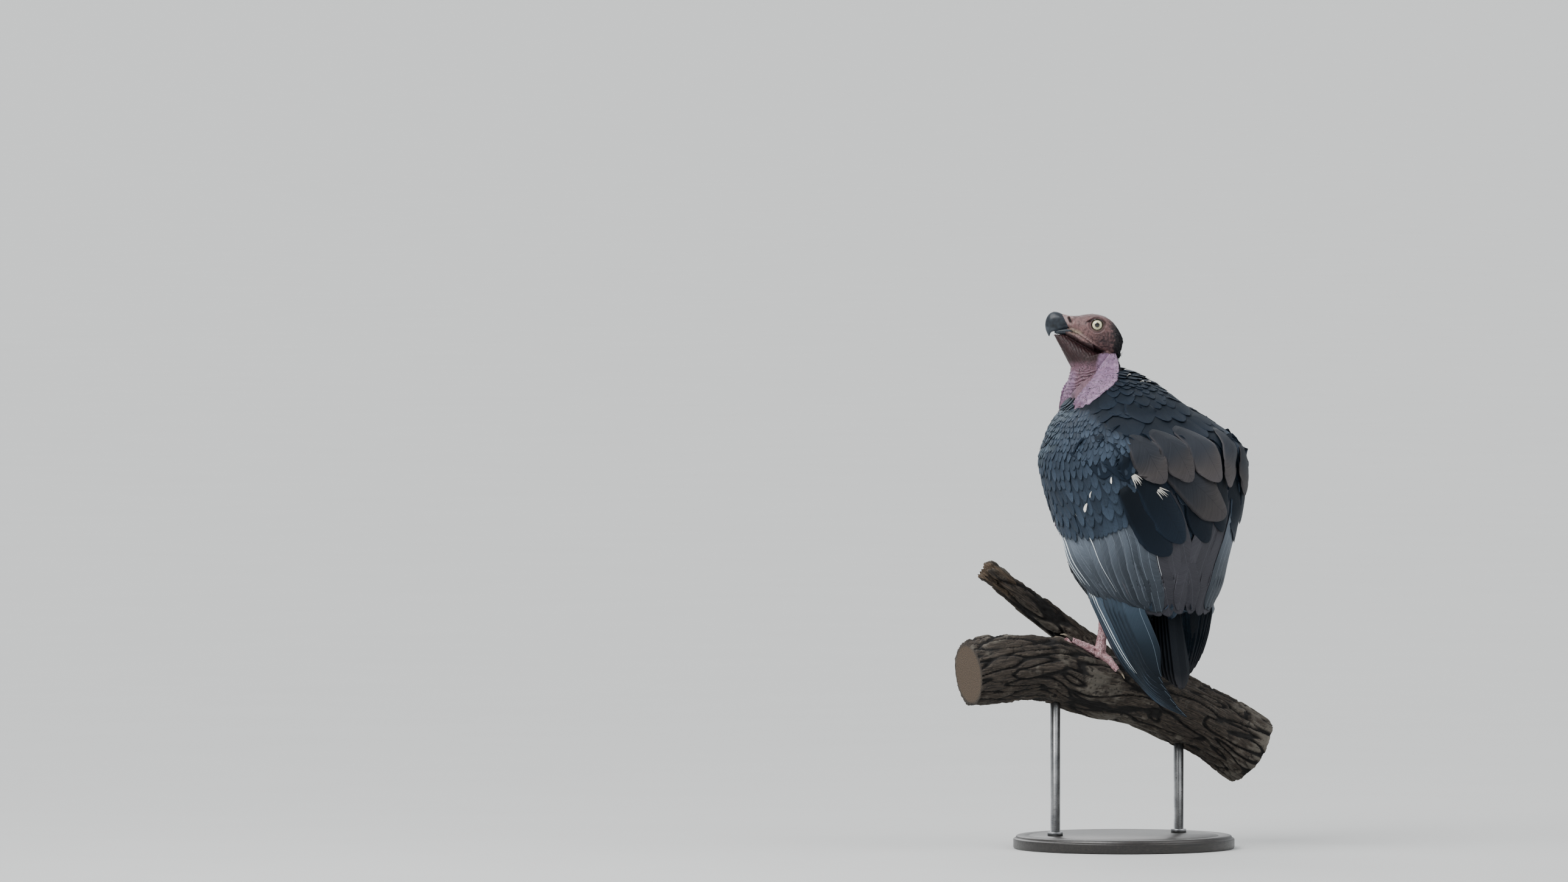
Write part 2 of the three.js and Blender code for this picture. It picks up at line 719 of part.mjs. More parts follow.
// ---------------------------------------------------------------- the whole
const finishes = {
  plumage: { color: 0x232b33, roughness: 0.75 },
  flight: { color: 0x3d444b, roughness: 0.7 },
  face: { color: 0xb07a76, roughness: 0.6 },
  lappet: { color: 0xb48fa6, roughness: 0.55 },
  horn: { color: 0x3b434d, roughness: 0.35 },
  iris: { color: 0xdcd8b0, roughness: 0.1 },
  scale: { color: 0xc4a0a4, roughness: 0.6 },
  claw: { color: 0x2a2622, roughness: 0.4 },
  bark: { color: 0x5a5048, roughness: 0.95 },
  lacquer: { color: 0x1b1a19, roughness: 0.45 },
  steel: { color: 0x8c8f92, roughness: 0.35, metalness: 1 },
};

const pieces = [];
const place = (name, body, finish) => pieces.push({ name, body, finish });

place("head", head, "face");
place("throat", throat, "face");
place("bill_upper", upperBill, "horn");
place("bill_lower", lowerBill, "horn");
eyeballs.forEach((eye, i) => place(i ? "eye_right" : "eye_left", eye, "iris"));
place("neck", neck, "face");
place("lappet_left", lappetLeft, "lappet");
place("lappet_right", cleared(lappetRight, lappetLeft), "lappet");
place("trunk", trunk, "plumage");
for (const name of ["left", "right"]) {
  place(`wing_${name}_arm`, wings[name].arm, "plumage");
  place(`wing_${name}_secondaries`, wings[name].secondaries, "flight");
  place(`wing_${name}_primaries`, wings[name].primaries, "flight");
}
place("tail", tail, "flight");
legs.forEach(({ name, foot, shank, claws }, i) => {
  place(`thigh_${name}`, thighs[i], "plumage");
  place(`shank_${name}`, shank, "scale");
  place(`foot_${name}`, foot, "scale");
  ["middle", "inner", "outer", "hind"].forEach((toe, k) => place(`claw_${name}_${toe}`, claws[k], "claw"));
});
place("perch", perch, "bark");
place("stand_base", baseBody(), "lacquer");
rods.forEach((rod, i) => place(`stand_rod_${i + 1}`, rod, "steel"));

// The origin is the middle of the whole, on the floor.
const bounds = new THREE.Box3();
for (const { body } of pieces) {
  const { min, max } = body.boundingBox();
  bounds.expandByPoint(V(...min)).expandByPoint(V(...max));
}
const middle = bounds.getCenter(V(0, 0, 0));

// A body moved to the origin, without the crumbs that rounding its corners breaks off.
function settled(body) {
  const moved = solid(geometryOf(body).translate(-middle.x, -middle.y, -bounds.min.z));
  return moved.decompose().reduce((a, b) => (b.volume() > a.volume() ? b : a));
}

const model = new THREE.Group();
for (const { name, body, finish } of pieces) {
  const mesh = new THREE.Mesh(geometryOf(settled(body)), new THREE.MeshStandardMaterial(finishes[finish]));
  mesh.name = name;
  model.add(mesh);
}
export default model;
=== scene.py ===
"""A red-headed vulture, life size, on a short length of dead limb held by a display stand."""

import math

import bmesh
import bpy
import numpy as np
from mathutils import Matrix, Vector, noise
from mathutils.bvhtree import BVHTree


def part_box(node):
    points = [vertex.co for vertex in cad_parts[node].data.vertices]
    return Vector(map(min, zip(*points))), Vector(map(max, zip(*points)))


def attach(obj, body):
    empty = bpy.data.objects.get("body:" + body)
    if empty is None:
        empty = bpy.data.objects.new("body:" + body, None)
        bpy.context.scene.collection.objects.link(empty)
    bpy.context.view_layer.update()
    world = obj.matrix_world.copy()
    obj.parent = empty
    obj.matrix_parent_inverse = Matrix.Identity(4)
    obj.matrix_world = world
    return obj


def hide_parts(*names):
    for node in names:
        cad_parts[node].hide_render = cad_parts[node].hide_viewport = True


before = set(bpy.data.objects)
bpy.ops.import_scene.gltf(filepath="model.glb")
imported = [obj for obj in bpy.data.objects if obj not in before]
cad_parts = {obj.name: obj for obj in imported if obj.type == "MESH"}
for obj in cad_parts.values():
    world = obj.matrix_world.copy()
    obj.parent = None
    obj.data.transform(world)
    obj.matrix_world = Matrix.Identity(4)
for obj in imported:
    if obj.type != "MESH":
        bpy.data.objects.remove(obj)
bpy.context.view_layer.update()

# ---------------------------------------------------------------- places and sizes, in millimetres
# Everything is worked out in the bird's own millimetres: it faces -Y, its left side is +X and the
# floor is z = 0. HOME carries that to the frame, by the rod that stands at FIRST_ROD.
MM = 0.001
FIRST_ROD = (128.0, -34.0)
SIDES = {1: "left", -1: "right"}


def middle_of(node):
    """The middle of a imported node's box, in the frame's metres."""
    low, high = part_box(node)
    return (np.array(low) + np.array(high)) / 2


HOME = (middle_of("stand_rod_1") - np.array([*FIRST_ROD, 0.0]) * MM) * [1, 1, 0]
SEED = 1776
FAR = 1e9

HEAD_ORIGIN = np.array([22.0, -42.0, 945.0])
HEAD_TURN = math.radians(50)
HEAD_AXES = np.array([
    [math.sin(HEAD_TURN), -math.cos(HEAD_TURN), 0.0],
    [0.0, 0.0, 1.0],
    [math.cos(HEAD_TURN), math.sin(HEAD_TURN), 0.0],
])
EYE_OFFSET = 19.3
EYE_RADIUS = 12.5
IRIS_RADIUS = 8.9
PUPIL_RADIUS = 4.1


def table(rows):
    """Rows of [key, value, ...] as a smooth function of the key, level beyond both ends."""
    rows = np.array(rows, float)
    keys, values = rows[:, 0], rows[:, 1:]
    slopes = np.empty_like(values)
    slopes[1:-1] = (values[2:] - values[:-2]) / (keys[2:] - keys[:-2])[:, None]
    slopes[0] = (values[1] - values[0]) / (keys[1] - keys[0])
    slopes[-1] = (values[-1] - values[-2]) / (keys[-1] - keys[-2])

    def at(key):
        key = np.clip(np.asarray(key, float), keys[0], keys[-1])
        i = np.clip(np.searchsorted(keys, key, side="right") - 1, 0, len(keys) - 2)
        span = (keys[i + 1] - keys[i])[..., None]
        u = (key - keys[i])[..., None] / span
        return (
            (2 * u**3 - 3 * u**2 + 1) * values[i]
            + (u**3 - 2 * u**2 + u) * span * slopes[i]
            + (3 * u**2 - 2 * u**3) * values[i + 1]
            + (u**3 - u**2) * span * slopes[i + 1]
        )

    return at


def smooth(x, low, high):
    """0 below low, 1 above high, and an S between them."""
    t = np.clip((np.asarray(x, float) - low) / (high - low), 0, 1)
    return t * t * (3 - 2 * t)


def unit(v):
    return v / np.maximum(np.linalg.norm(v, axis=-1, keepdims=True), 1e-9)


def blend(a, b, t):
    return a + (b - a) * t


def bell(x, middle, width, order=2):
    """1 at the middle, and falling to nothing over about two widths on each side."""
    return np.exp(-(((x - middle) / width) ** order))


def wavering(points, scale):
    """Smooth noise from -1 to 1 at each point, with a scale in waves for each millimetre."""
    return np.array([noise.noise(Vector(p) * scale) for p in points])


def run_of(line):
    """How far along a line each of its points lies."""
    return np.concatenate([[0], np.cumsum(np.linalg.norm(np.diff(line, axis=0), axis=1))])


# The folded bird's outline at a height: half width, reach to the front and to the back, middle of Y.
plumage = table([
    [242, 16, 12, 14, 188],
    [302, 36, 40, 50, 120],
    [353, 74, 64, 64, 108],
    [408, 100, 80, 80, 95],
    [440, 112, 86, 86, 91],
    [474, 132, 98, 98, 85],
    [519, 152, 115, 115, 72],
    [564, 164, 124, 124, 72],
    [610, 176, 134, 134, 66],
    [651, 186, 142, 142, 62],
    [702, 191, 152, 146, 58],
    [731, 179, 150, 148, 56],
    [767, 150, 130, 128, 36],
    [784, 128, 118, 118, 26],
    [800, 104, 100, 100, 16],
])
SQUARENESS = 2.6


def power(v, e):
    return np.sign(v) * np.abs(v) ** e


def on_plumage(side, angle, height, lift=0.0):
    """A point of the folded bird's outline: angle 0 is the flank, 90 the back, -90 the breast."""
    half, front, back, middle = np.moveaxis(plumage(height), -1, 0)
    c = power(np.cos(np.radians(angle)), 2 / SQUARENESS)
    s = power(np.sin(np.radians(angle)), 2 / SQUARENESS)
    reach = np.where(s < 0, front, back) + lift
    return np.stack([side * (half + lift) * c, middle + reach * s, height + 0 * c], -1)


def in_head(forward, up, left):
    """Points of the head's frame, whose origin is midway between the eyes."""
    local = np.stack(np.broadcast_arrays(forward, up, left), -1).astype(float)
    return HEAD_ORIGIN + local @ HEAD_AXES


def to_head(points):
    return (points - HEAD_ORIGIN) @ HEAD_AXES.T


# ---------------------------------------------------------------- mesh and material tools
def linked(name, data):
    """A new object in the scene."""
    made = bpy.data.objects.new(name, data)
    bpy.context.scene.collection.objects.link(made)
    return made


def dressed(made, finish=None):
    """Gives a mesh its one finish, if it has one, and smooth shading."""
    made.data.materials.clear()
    if finish:
        made.data.materials.append(finish)
    made.data.polygons.foreach_set("use_smooth", np.ones(len(made.data.polygons), bool))
    return made


def mesh_object(name, points, faces, finish=None):
    """A mesh object from points in the bird's millimetres and a list of faces."""
    mesh = bpy.data.meshes.new(name)
    mesh.from_pydata((np.asarray(points) * MM + HOME).tolist(), [], faces)
    mesh.update()
    return dressed(linked(name, mesh), finish)


def points_of(made):
    """An object's points, in the bird's millimetres."""
    at = np.empty(len(made.data.vertices) * 3)
    made.data.vertices.foreach_get("co", at)
    return (at.reshape(-1, 3) - HOME) / MM


def set_points(made, points):
    made.data.vertices.foreach_set("co", (points * MM + HOME).astype(np.float32).ravel())
    made.data.update()


def normals_of(made):
    out = np.empty(len(made.data.vertices) * 3, np.float32)
    made.data.vertex_normals.foreach_get("vector", out)
    return out.reshape(-1, 3).astype(float)


def joined(name, objects):
    bpy.ops.object.select_all(action="DESELECT")
    for part in objects:
        part.select_set(True)
    bpy.context.view_layer.objects.active = objects[0]
    bpy.ops.object.join()
    objects[0].name = name
    objects[0].data.name = name
    return objects[0]


def copied(node):
    """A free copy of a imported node's mesh."""
    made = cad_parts[node].copy()
    made.data = made.data.copy()
    for key in list(made.keys()):
        del made[key]
    made.parent = None
    made.matrix_world = Matrix.Identity(4)
    bpy.context.scene.collection.objects.link(made)
    made.hide_viewport = False
    made.hide_render = False
    made.hide_set(False)
    made.data.materials.clear()
    return made


def surface_of(made):
    """A mesh's points, its triangles, and a tree that finds places on it."""
    points = points_of(made)
    made.data.calc_loop_triangles()
    faces = np.array([tuple(t.vertices) for t in made.data.loop_triangles])
    return points, faces, BVHTree.FromPolygons([Vector(p) for p in points], faces.tolist())


def remeshed(made, voxel, relax=0):
    """The union of a mesh's closed pieces in even quads of about the voxel's size, relaxed."""
    bpy.context.view_layer.objects.active = made
    modifier = made.modifiers.new("union", "REMESH")
    modifier.mode = "VOXEL"
    modifier.voxel_size = voxel * MM
    modifier.use_smooth_shade = True
    if relax:
        soften = made.modifiers.new("soften", "SMOOTH")
        soften.factor = 0.5
        soften.iterations = relax
    graph = bpy.context.evaluated_depsgraph_get()
    result = bpy.data.meshes.new_from_object(made.evaluated_get(graph))
    made.modifiers.clear()
    made.data = result
    return made


def loft(rings):
    """Points and quads through rings of equal length, with a fan over each end."""
    rings = np.asarray(rings, float)
    count, n = rings.shape[:2]
    points = rings.reshape(-1, 3)
    r, i = np.meshgrid(np.arange(count - 1), np.arange(n), indexing="ij")
    a = r * n + i
    b = r * n + (i + 1) % n
    faces = np.stack([a, b, b + n, a + n], -1).reshape(-1, 4).tolist()
    points = np.vstack([points, rings[0].mean(0), rings[-1].mean(0)])
    hub = count * n
    last = (count - 1) * n
    for k in range(n):
        faces.append([(k + 1) % n, k, hub])
        faces.append([last + k, last + (k + 1) % n, hub + 1])
    return points, faces


def through(points, count):
    """A smooth line of count points through given ones."""
    points = np.asarray(points, float)
    keys = np.linspace(0, 1, len(points))
    return table(np.column_stack([keys, points]))(np.linspace(0, 1, count))


def tube(line, across, above, count=12, up=(0, 0, 1)):
    """Rings along a line, with half sizes beside it and above it at each of its points."""
    line = np.asarray(line, float)
    ahead = unit(np.gradient(line, axis=0))
    beside = unit(np.cross(ahead, np.asarray(up, float)))
    over = np.cross(beside, ahead)
    turn = np.linspace(0, 2 * np.pi, count, endpoint=False)
    across = np.broadcast_to(across, len(line))[:, None, None]
    above = np.broadcast_to(above, len(line))[:, None, None]
    return (
        line[:, None]
        + beside[:, None] * np.cos(turn)[None, :, None] * across
        + over[:, None] * np.sin(turn)[None, :, None] * above
    )


def srgb(code):
    """A hex colour as linear red, green, blue and alpha."""
    parts = [int(code[i:i + 2], 16) / 255 for i in (1, 3, 5)]
    return [p / 12.92 if p <= 0.04045 else ((p + 0.055) / 1.055) ** 2.4 for p in parts] + [1.0]


def add(tree, kind, inputs=None, **settings):
    """Adds a shader node. An input takes a value, a hex colour, an output, or a node for its first output."""
    node = tree.nodes.new("ShaderNode" + kind)
    for key, value in settings.items():
        setattr(node, key, value)
    for key, value in (inputs or {}).items():
        if isinstance(value, bpy.types.Node):
            value = value.outputs[0]
        if isinstance(value, bpy.types.NodeSocket):
            tree.links.new(value, node.inputs[key])
        else:
            node.inputs[key].default_value = srgb(value) if isinstance(value, str) else value
    return node


def calc(tree, operation, *values):
    """The result of a sum on numbers."""
    return add(tree, "Math", dict(enumerate(values)), operation=operation).outputs[0]


def times(tree, first, *others):
    """The product of numbers."""
    for other in others:
        first = calc(tree, "MULTIPLY", first, other)
    return first


def vector_calc(tree, operation, *values):
    """The result of a sum on vectors."""
    return add(tree, "VectorMath", dict(enumerate(values)), operation=operation).outputs[0]


def scaled(tree, colour, factor):
    """A colour made lighter or darker."""
    return add(tree, "VectorMath", {0: colour, "Scale": factor}, operation="SCALE").outputs[0]


def cloud(tree, place, scale, detail, roughness=0.5, distortion=0.0):
    """Noise from 0 to 1, with a scale in waves for each unit of its place."""
    inputs = {"Vector": place, "Scale": scale, "Detail": detail}
    return add(tree, "TexNoise", {**inputs, "Roughness": roughness, "Distortion": distortion})


def cells(tree, place, scale, randomness=1.0, feature="F1"):
    """The distance to the nearest cell's middle, or to its edge."""
    inputs = {"Vector": place, "Scale": scale, "Randomness": randomness}
    return add(tree, "TexVoronoi", inputs, feature=feature)


def remapped(tree, value, from_low, from_high, to_low, to_high, curve="LINEAR"):
    """A value carried from one range to another and held inside it."""
    ends = {"From Min": from_low, "From Max": from_high, "To Min": to_low, "To Max": to_high}
    return add(tree, "MapRange", {"Value": value, **ends}, interpolation_type=curve).outputs[0]


def mixed(tree, share, first, second):
    """The first colour where the share is 0, and the second where it is 1."""
    return add(tree, "Mix", {0: share, 6: first, 7: second}, data_type="RGBA").outputs[2]


def ramp(tree, value, stops):
    """Colours by a value, through (place, hex colour) stops."""
    node = add(tree, "ValToRGB", {0: value})
    elements = node.color_ramp.elements
    while len(elements) < len(stops):
        elements.new(0.5)
    for element, (place, code) in zip(elements, stops):
        element.position = place
        element.color = srgb(code)
    return node


def from_mesh(tree, name, out="Vector"):
    """A value stored at each point of the mesh."""
    return add(tree, "Attribute", attribute_name=name).outputs[out]


def parts_from_mesh(tree, name):
    """The three numbers of a vector stored at each point of the mesh."""
    return add(tree, "SeparateXYZ", {0: from_mesh(tree, name)}).outputs


def new_finish(name, **sockets):
    """A new finish and its node tree, with the shader's own sockets set."""
    finish = bpy.data.materials.new(name)
    finish.use_nodes = True
    for key, value in sockets.items():
        finish.node_tree.nodes["Principled BSDF"].inputs[key.replace("_", " ")].default_value = value
    return finish, finish.node_tree


def wired(finish, colour, height=None, strength=0.0, distance=0.0, roughness=None):
    """The finish with its colour, relief (a height, its strength and its depth in metres) and roughness."""
    tree = finish.node_tree
    sources = {"Base Color": colour, "Roughness": roughness}
    if height is not None:
        sources["Normal"] = add(tree, "Bump", {"Height": height, "Strength": strength, "Distance": distance})
    for key, source in sources.items():
        if isinstance(source, bpy.types.Node):
            source = source.outputs[0]
        if source is not None:
            tree.links.new(source, tree.nodes["Principled BSDF"].inputs[key])
    return finish


def stored(made, name, values, kind="FLOAT_VECTOR"):
    """Stores one value for each point of a mesh."""
    layer = made.data.attributes.new(name, kind, "POINT")
    key = {"FLOAT_VECTOR": "vector", "FLOAT_COLOR": "color", "FLOAT": "value"}[kind]
    layer.data.foreach_set(key, np.asarray(values, np.float32).ravel())


# ---------------------------------------------------------------- finishes
# Keratin of feathers, bill, scales and claws has an IOR of about 1.55. Each vane stores "vane"
# (across and along in mm, and a number of its own from 0 to 1) and "reach" (-1 to 1 across, 0 to 1
# along, and its tract's tone).
# The plumage's blue cast, in its colours and in the blue tint of its sheen and specular, is painted sky
# light.
KERATIN_IOR = 1.55
BARB_SLANT = 1.2  # barbs leave the shaft forwards at about 40 degrees


def vane_finish(name, along, edge, shaft, shaft_width, barb_pitch=1.5, roughness=0.6, spread=0.35,
                edge_start=0.72, sheen=0.04, gloss=0.3):
    """Barbed keratin vanes: a colour along the feather, a worn edge, a shaft and fine slanting barbs."""
    # Sheen and specular are tinted blue: a painted reflection of sky light.
    finish, tree = new_finish(
        name, Roughness=roughness, IOR=KERATIN_IOR, Sheen_Weight=sheen, Sheen_Roughness=0.45,
        Sheen_Tint=srgb("#9db0c4"), Specular_IOR_Level=gloss, Specular_Tint=srgb("#a9b5c6"),
    )
    across_mm, along_mm, own = parts_from_mesh(tree, "vane")
    across, share, tract = parts_from_mesh(tree, "reach")
    side = calc(tree, "ABSOLUTE", across_mm)
    run = calc(tree, "SUBTRACT", along_mm, times(tree, side, BARB_SLANT))
    lane = add(tree, "CombineXYZ", {0: run, 2: own})
    bent = calc(tree, "MULTIPLY_ADD", cloud(tree, lane, 0.09, 2.0), 3.0, run)
    barb = calc(tree, "SINE", times(tree, bent, 2 * math.pi / barb_pitch))
    # Clumps of barbs that have parted show as wider, fainter streaks.
    clump = cloud(tree, vector_calc(tree, "MULTIPLY", lane, (0.55, 1.0, 37.0)), 1.0, 3.0, 0.6)

    worn = remapped(tree, calc(tree, "ABSOLUTE", across), edge_start, 1.0, 0.0, 0.75, "SMOOTHSTEP")
    edged = mixed(tree, worn, ramp(tree, share, along), edge)
    # From feather to feather the tone differs, and the tract's own tone multiplies it.
    luck = remapped(tree, own, 0.0, 1.0, 1.0 - spread, 1.0 + spread)
    streak = remapped(tree, clump, 0.3, 0.7, 0.78, 1.2)
    fine = remapped(tree, barb, -1.0, 1.0, 0.9, 1.08)
    level = times(tree, times(tree, luck, tract), times(tree, streak, fine))
    taper = remapped(tree, share, 0.0, 1.0, shaft_width, shaft_width * 0.35)
    on_shaft = calc(tree, "LESS_THAN", side, taper)
    coloured = mixed(tree, on_shaft, scaled(tree, edged, level), shaft)
    return wired(finish, coloured, calc(tree, "MULTIPLY_ADD", clump, 0.6, barb), 0.25, 0.0004)


# Black contour feathers: melanin-rich keratin with a faint sheen; their blue cast and the sheen's cold tint
# are painted sky light.
MANTLE = vane_finish("mantle_feather", [(0.0, "#0b0f13"), (0.5, "#10171f"), (1.0, "#17202b")],
                     "#1b2531", "#0e1318", 0.35, spread=0.14, gloss=0.2)
COVERT = vane_finish("wing_covert", [(0.0, "#0f1318"), (0.55, "#212a35"), (1.0, "#343f4c")],
                     "#3a4654", "#14181d", 0.3, spread=0.28)
# The worn, greyer feathers over the wrist.
WRIST = vane_finish("wrist_covert", [(0.0, "#161c21"), (0.6, "#303b44"), (1.0, "#48545f")],
                    "#525e69", "#20272d", 0.3, spread=0.2)
# Sun-bleached scapulars: melanin faded to a warm brown-grey.
SCAPULAR = vane_finish("bleached_scapular",
                       [(0.0, "#17191d"), (0.5, "#2c2e33"), (0.8, "#403c3b"), (1.0, "#454142")],
                       "#423f40", "#222226", 0.35, barb_pitch=1.8, spread=0.3, gloss=0.2)
# Secondaries: a pale grey base below the coverts, darkening to slate at the end, under a white shaft.
SECONDARY = vane_finish("secondary_vane",
                        [(0.0, "#646c76"), (0.4, "#5b636d"), (0.62, "#42484f"), (1.0, "#30353b")],
                        "#6c747e", "#78828d", 0.4, barb_pitch=2.0, spread=0.2, edge_start=0.88)
# Tertials: the innermost flight feathers, browner and more weathered.
TERTIAL = vane_finish("tertial_vane", [(0.0, "#303137"), (0.5, "#414045"), (1.0, "#36353a")],
                      "#5a595f", "#4b4b51", 0.5, barb_pitch=2.0, spread=0.22, edge_start=0.9, gloss=0.2)
# Primaries: slate with a hard gloss on the outer web.
PRIMARY = vane_finish("primary_vane",
                      [(0.0, "#4a5866"), (0.35, "#3c4a57"), (0.7, "#1e2932"), (1.0, "#0a1015")],
                      "#42505f", "#5d6974", 0.6, barb_pitch=2.0, roughness=0.5, spread=0.14, edge_start=0.88)
# Tail feathers: black, rubbed to brown at their tips.
RECTRIX = vane_finish("tail_vane", [(0.0, "#040609"), (0.6, "#080b0f"), (0.88, "#121316"), (1.0, "#2a292b")],
                      "#1a1c20", "#0f1216", 0.5, barb_pitch=2.0, spread=0.2, gloss=0.2)
# Bare shafts of the flight feathers: hollow ivory keratin, polished by wear.
SHAFT = vane_finish("ivory_shaft", [(0.0, "#e2e6e6"), (0.6, "#d6e0e6"), (1.0, "#8b969e")],
                    "#b9c4ca", "#eef3f5", 0.3, roughness=0.35, spread=0.05, sheen=0.0)
# Narrow soft feathers of the breast, and loose down, matt because its barbs lie every way.
BREAST = vane_finish("breast_feather", [(0.0, "#0d1013"), (1.0, "#191f25")], "#20272e", "#111418", 0.3)
DOWN = vane_finish("white_down", [(0.0, "#cfcabd"), (1.0, "#f0ece2")], "#f6f3ec", "#efeade", 0.2,
                   roughness=0.85, spread=0.1, sheen=0.3)
BLACK_DOWN = vane_finish("black_down", [(0.0, "#15130f"), (1.0, "#26252a")], "#34343a", "#1a181a", 0.2,
                         roughness=0.8, spread=0.3)


def skin_finish():
    """Bare facial skin: its markings are stored on the skin, and pores, dots and flush come here."""
    finish, tree = new_finish(
        "bare_face_skin", Roughness=0.48, IOR=1.42, Subsurface_Weight=0.12, Subsurface_Scale=0.004,
        Subsurface_Radius=(1.0, 0.35, 0.2), Specular_IOR_Level=0.4,
    )
    place = from_mesh(tree, "bird_mm")
    flush = remapped(tree, cloud(tree, place, 0.16, 5.0, 0.6), 0.3, 0.7, 0.62, 1.3)
    toned = scaled(tree, from_mesh(tree, "markings", "Color"), flush)
    # Dark bristle pits about 1 mm wide and 3 mm apart, in wandering level rows.
    wander = cloud(tree, place, 0.07, 2.0).outputs["Color"]
    swayed = vector_calc(tree, "MULTIPLY_ADD", wander, (9.0, 9.0, 9.0), place)
    rows = vector_calc(tree, "MULTIPLY", swayed, (0.8, 0.8, 1.35))
    pit = remapped(tree, cells(tree, rows, 0.34, 0.9), 0.24, 0.38, 1.0, 0.0, "SMOOTHSTEP")
    patch = remapped(tree, cloud(tree, swayed, 0.1, 1.0), 0.38, 0.5, 0.0, 1.0)
    dotted = mixed(tree, times(tree, pit, patch, from_mesh(tree, "dots", "Fac")), toned, "#1e141c")
    # Fine creases and pores, about 1.4 mm apart.
    crease = cells(tree, swayed, 0.7, feature="DISTANCE_TO_EDGE")
    return wired(finish, dotted, calc(tree, "ADD", crease, cloud(tree, place, 1.4, 3.0)), 0.35, 0.0006)


def bill_finish():
    """Bill horn: smooth slate keratin, polished on the ridge, paler and flaking at its edges."""
    finish, tree = new_finish("bill_horn", Roughness=0.4, IOR=KERATIN_IOR, Coat_Weight=0.05,
                              Coat_Roughness=0.25, Specular_IOR_Level=0.35)
    place = from_mesh(tree, "head_mm")
    # Growth bands run down from the ridge, 2 to 3 mm apart, with fine long streaks over them.
    band = cloud(tree, vector_calc(tree, "MULTIPLY", place, (0.42, 0.1, 0.1)), 1.0, 5.0, 0.6)
    growth = calc(tree, "MULTIPLY_ADD", band, 0.45, cloud(tree, place, 0.12, 3.0))
    ground = ramp(tree, growth, [(0.5, "#13181e"), (0.72, "#1e252d"), (0.95, "#2c343d")])
    coloured = mixed(tree, from_mesh(tree, "worn", "Fac"), ground, "#454c54")
    rough = remapped(tree, band, 0.3, 0.75, 0.34, 0.5)
    return wired(finish, coloured, band, 0.18, 0.0005, rough)


def iris_finish():
    """A wet eyeball: pupil, cream iris with radial fibres and a dark outer ring."""
    finish, tree = new_finish("pale_iris", Roughness=0.06, IOR=1.38, Coat_Weight=1.0, Coat_Roughness=0.02)
    fibre = cloud(tree, vector_calc(tree, "MULTIPLY", from_mesh(tree, "iris"), (0.25, 9.0, 1.0)), 1.0, 4.0)
    pupil, iris = PUPIL_RADIUS / EYE_RADIUS, IRIS_RADIUS / EYE_RADIUS
    rings = [
        (0.0, "#050506"), (pupil - 0.01, "#060607"), (pupil + 0.025, "#8f8a5e"), (0.44, "#d9d4a6"),
        (0.62, "#e6e2c4"), (iris - 0.035, "#cfc9a0"), (iris + 0.005, "#3a3220"), (0.8, "#14100d"),
    ]
    ground = ramp(tree, calc(tree, "DIVIDE", parts_from_mesh(tree, "iris")[0], EYE_RADIUS), rings)
    return wired(finish, scaled(tree, ground, remapped(tree, fibre, 0.3, 0.7, 0.86, 1.06)))


def leg_finish():
    """Scaled leg skin: pink plates, with painted shade in the creases between them."""
    finish, tree = new_finish("leg_scales", Roughness=0.55, IOR=KERATIN_IOR, Subsurface_Weight=0.06,
                              Subsurface_Scale=0.003)
    place = from_mesh(tree, "bird_mm")
    plates = cells(tree, place, 0.3, 0.6, "DISTANCE_TO_EDGE")
    crease = remapped(tree, plates, 0.0, 0.12, 0.0, 1.0, "SMOOTHSTEP")
    dusty = ramp(tree, cloud(tree, place, 0.12, 4.0), [(0.3, "#8d5f63"), (0.5, "#bd959a"), (0.75, "#cfb0b2")])
    # Painted shade: the creases between the plates are darkened.
    return wired(finish, mixed(tree, crease, "#5b3c40", dusty), crease, 0.5, 0.0008)


def claw_finish():
    """Worn claw horn: dark at the root, translucent brown towards the point, streaked along."""
    finish, tree = new_finish("claw_horn", Roughness=0.38, IOR=KERATIN_IOR)
    reach = from_mesh(tree, "reach")
    streak = cloud(tree, vector_calc(tree, "MULTIPLY", reach, (6.0, 1.2, 1.0)), 3.0, 4.0)
    wear = calc(tree, "MULTIPLY_ADD", streak, 0.5, parts_from_mesh(tree, "reach")[1])
    ground = ramp(tree, wear, [(0.3, "#2c2622"), (0.8, "#4a4038"), (1.0, "#9a8d7a")])
    return wired(finish, ground, streak, 0.2, 0.0004)


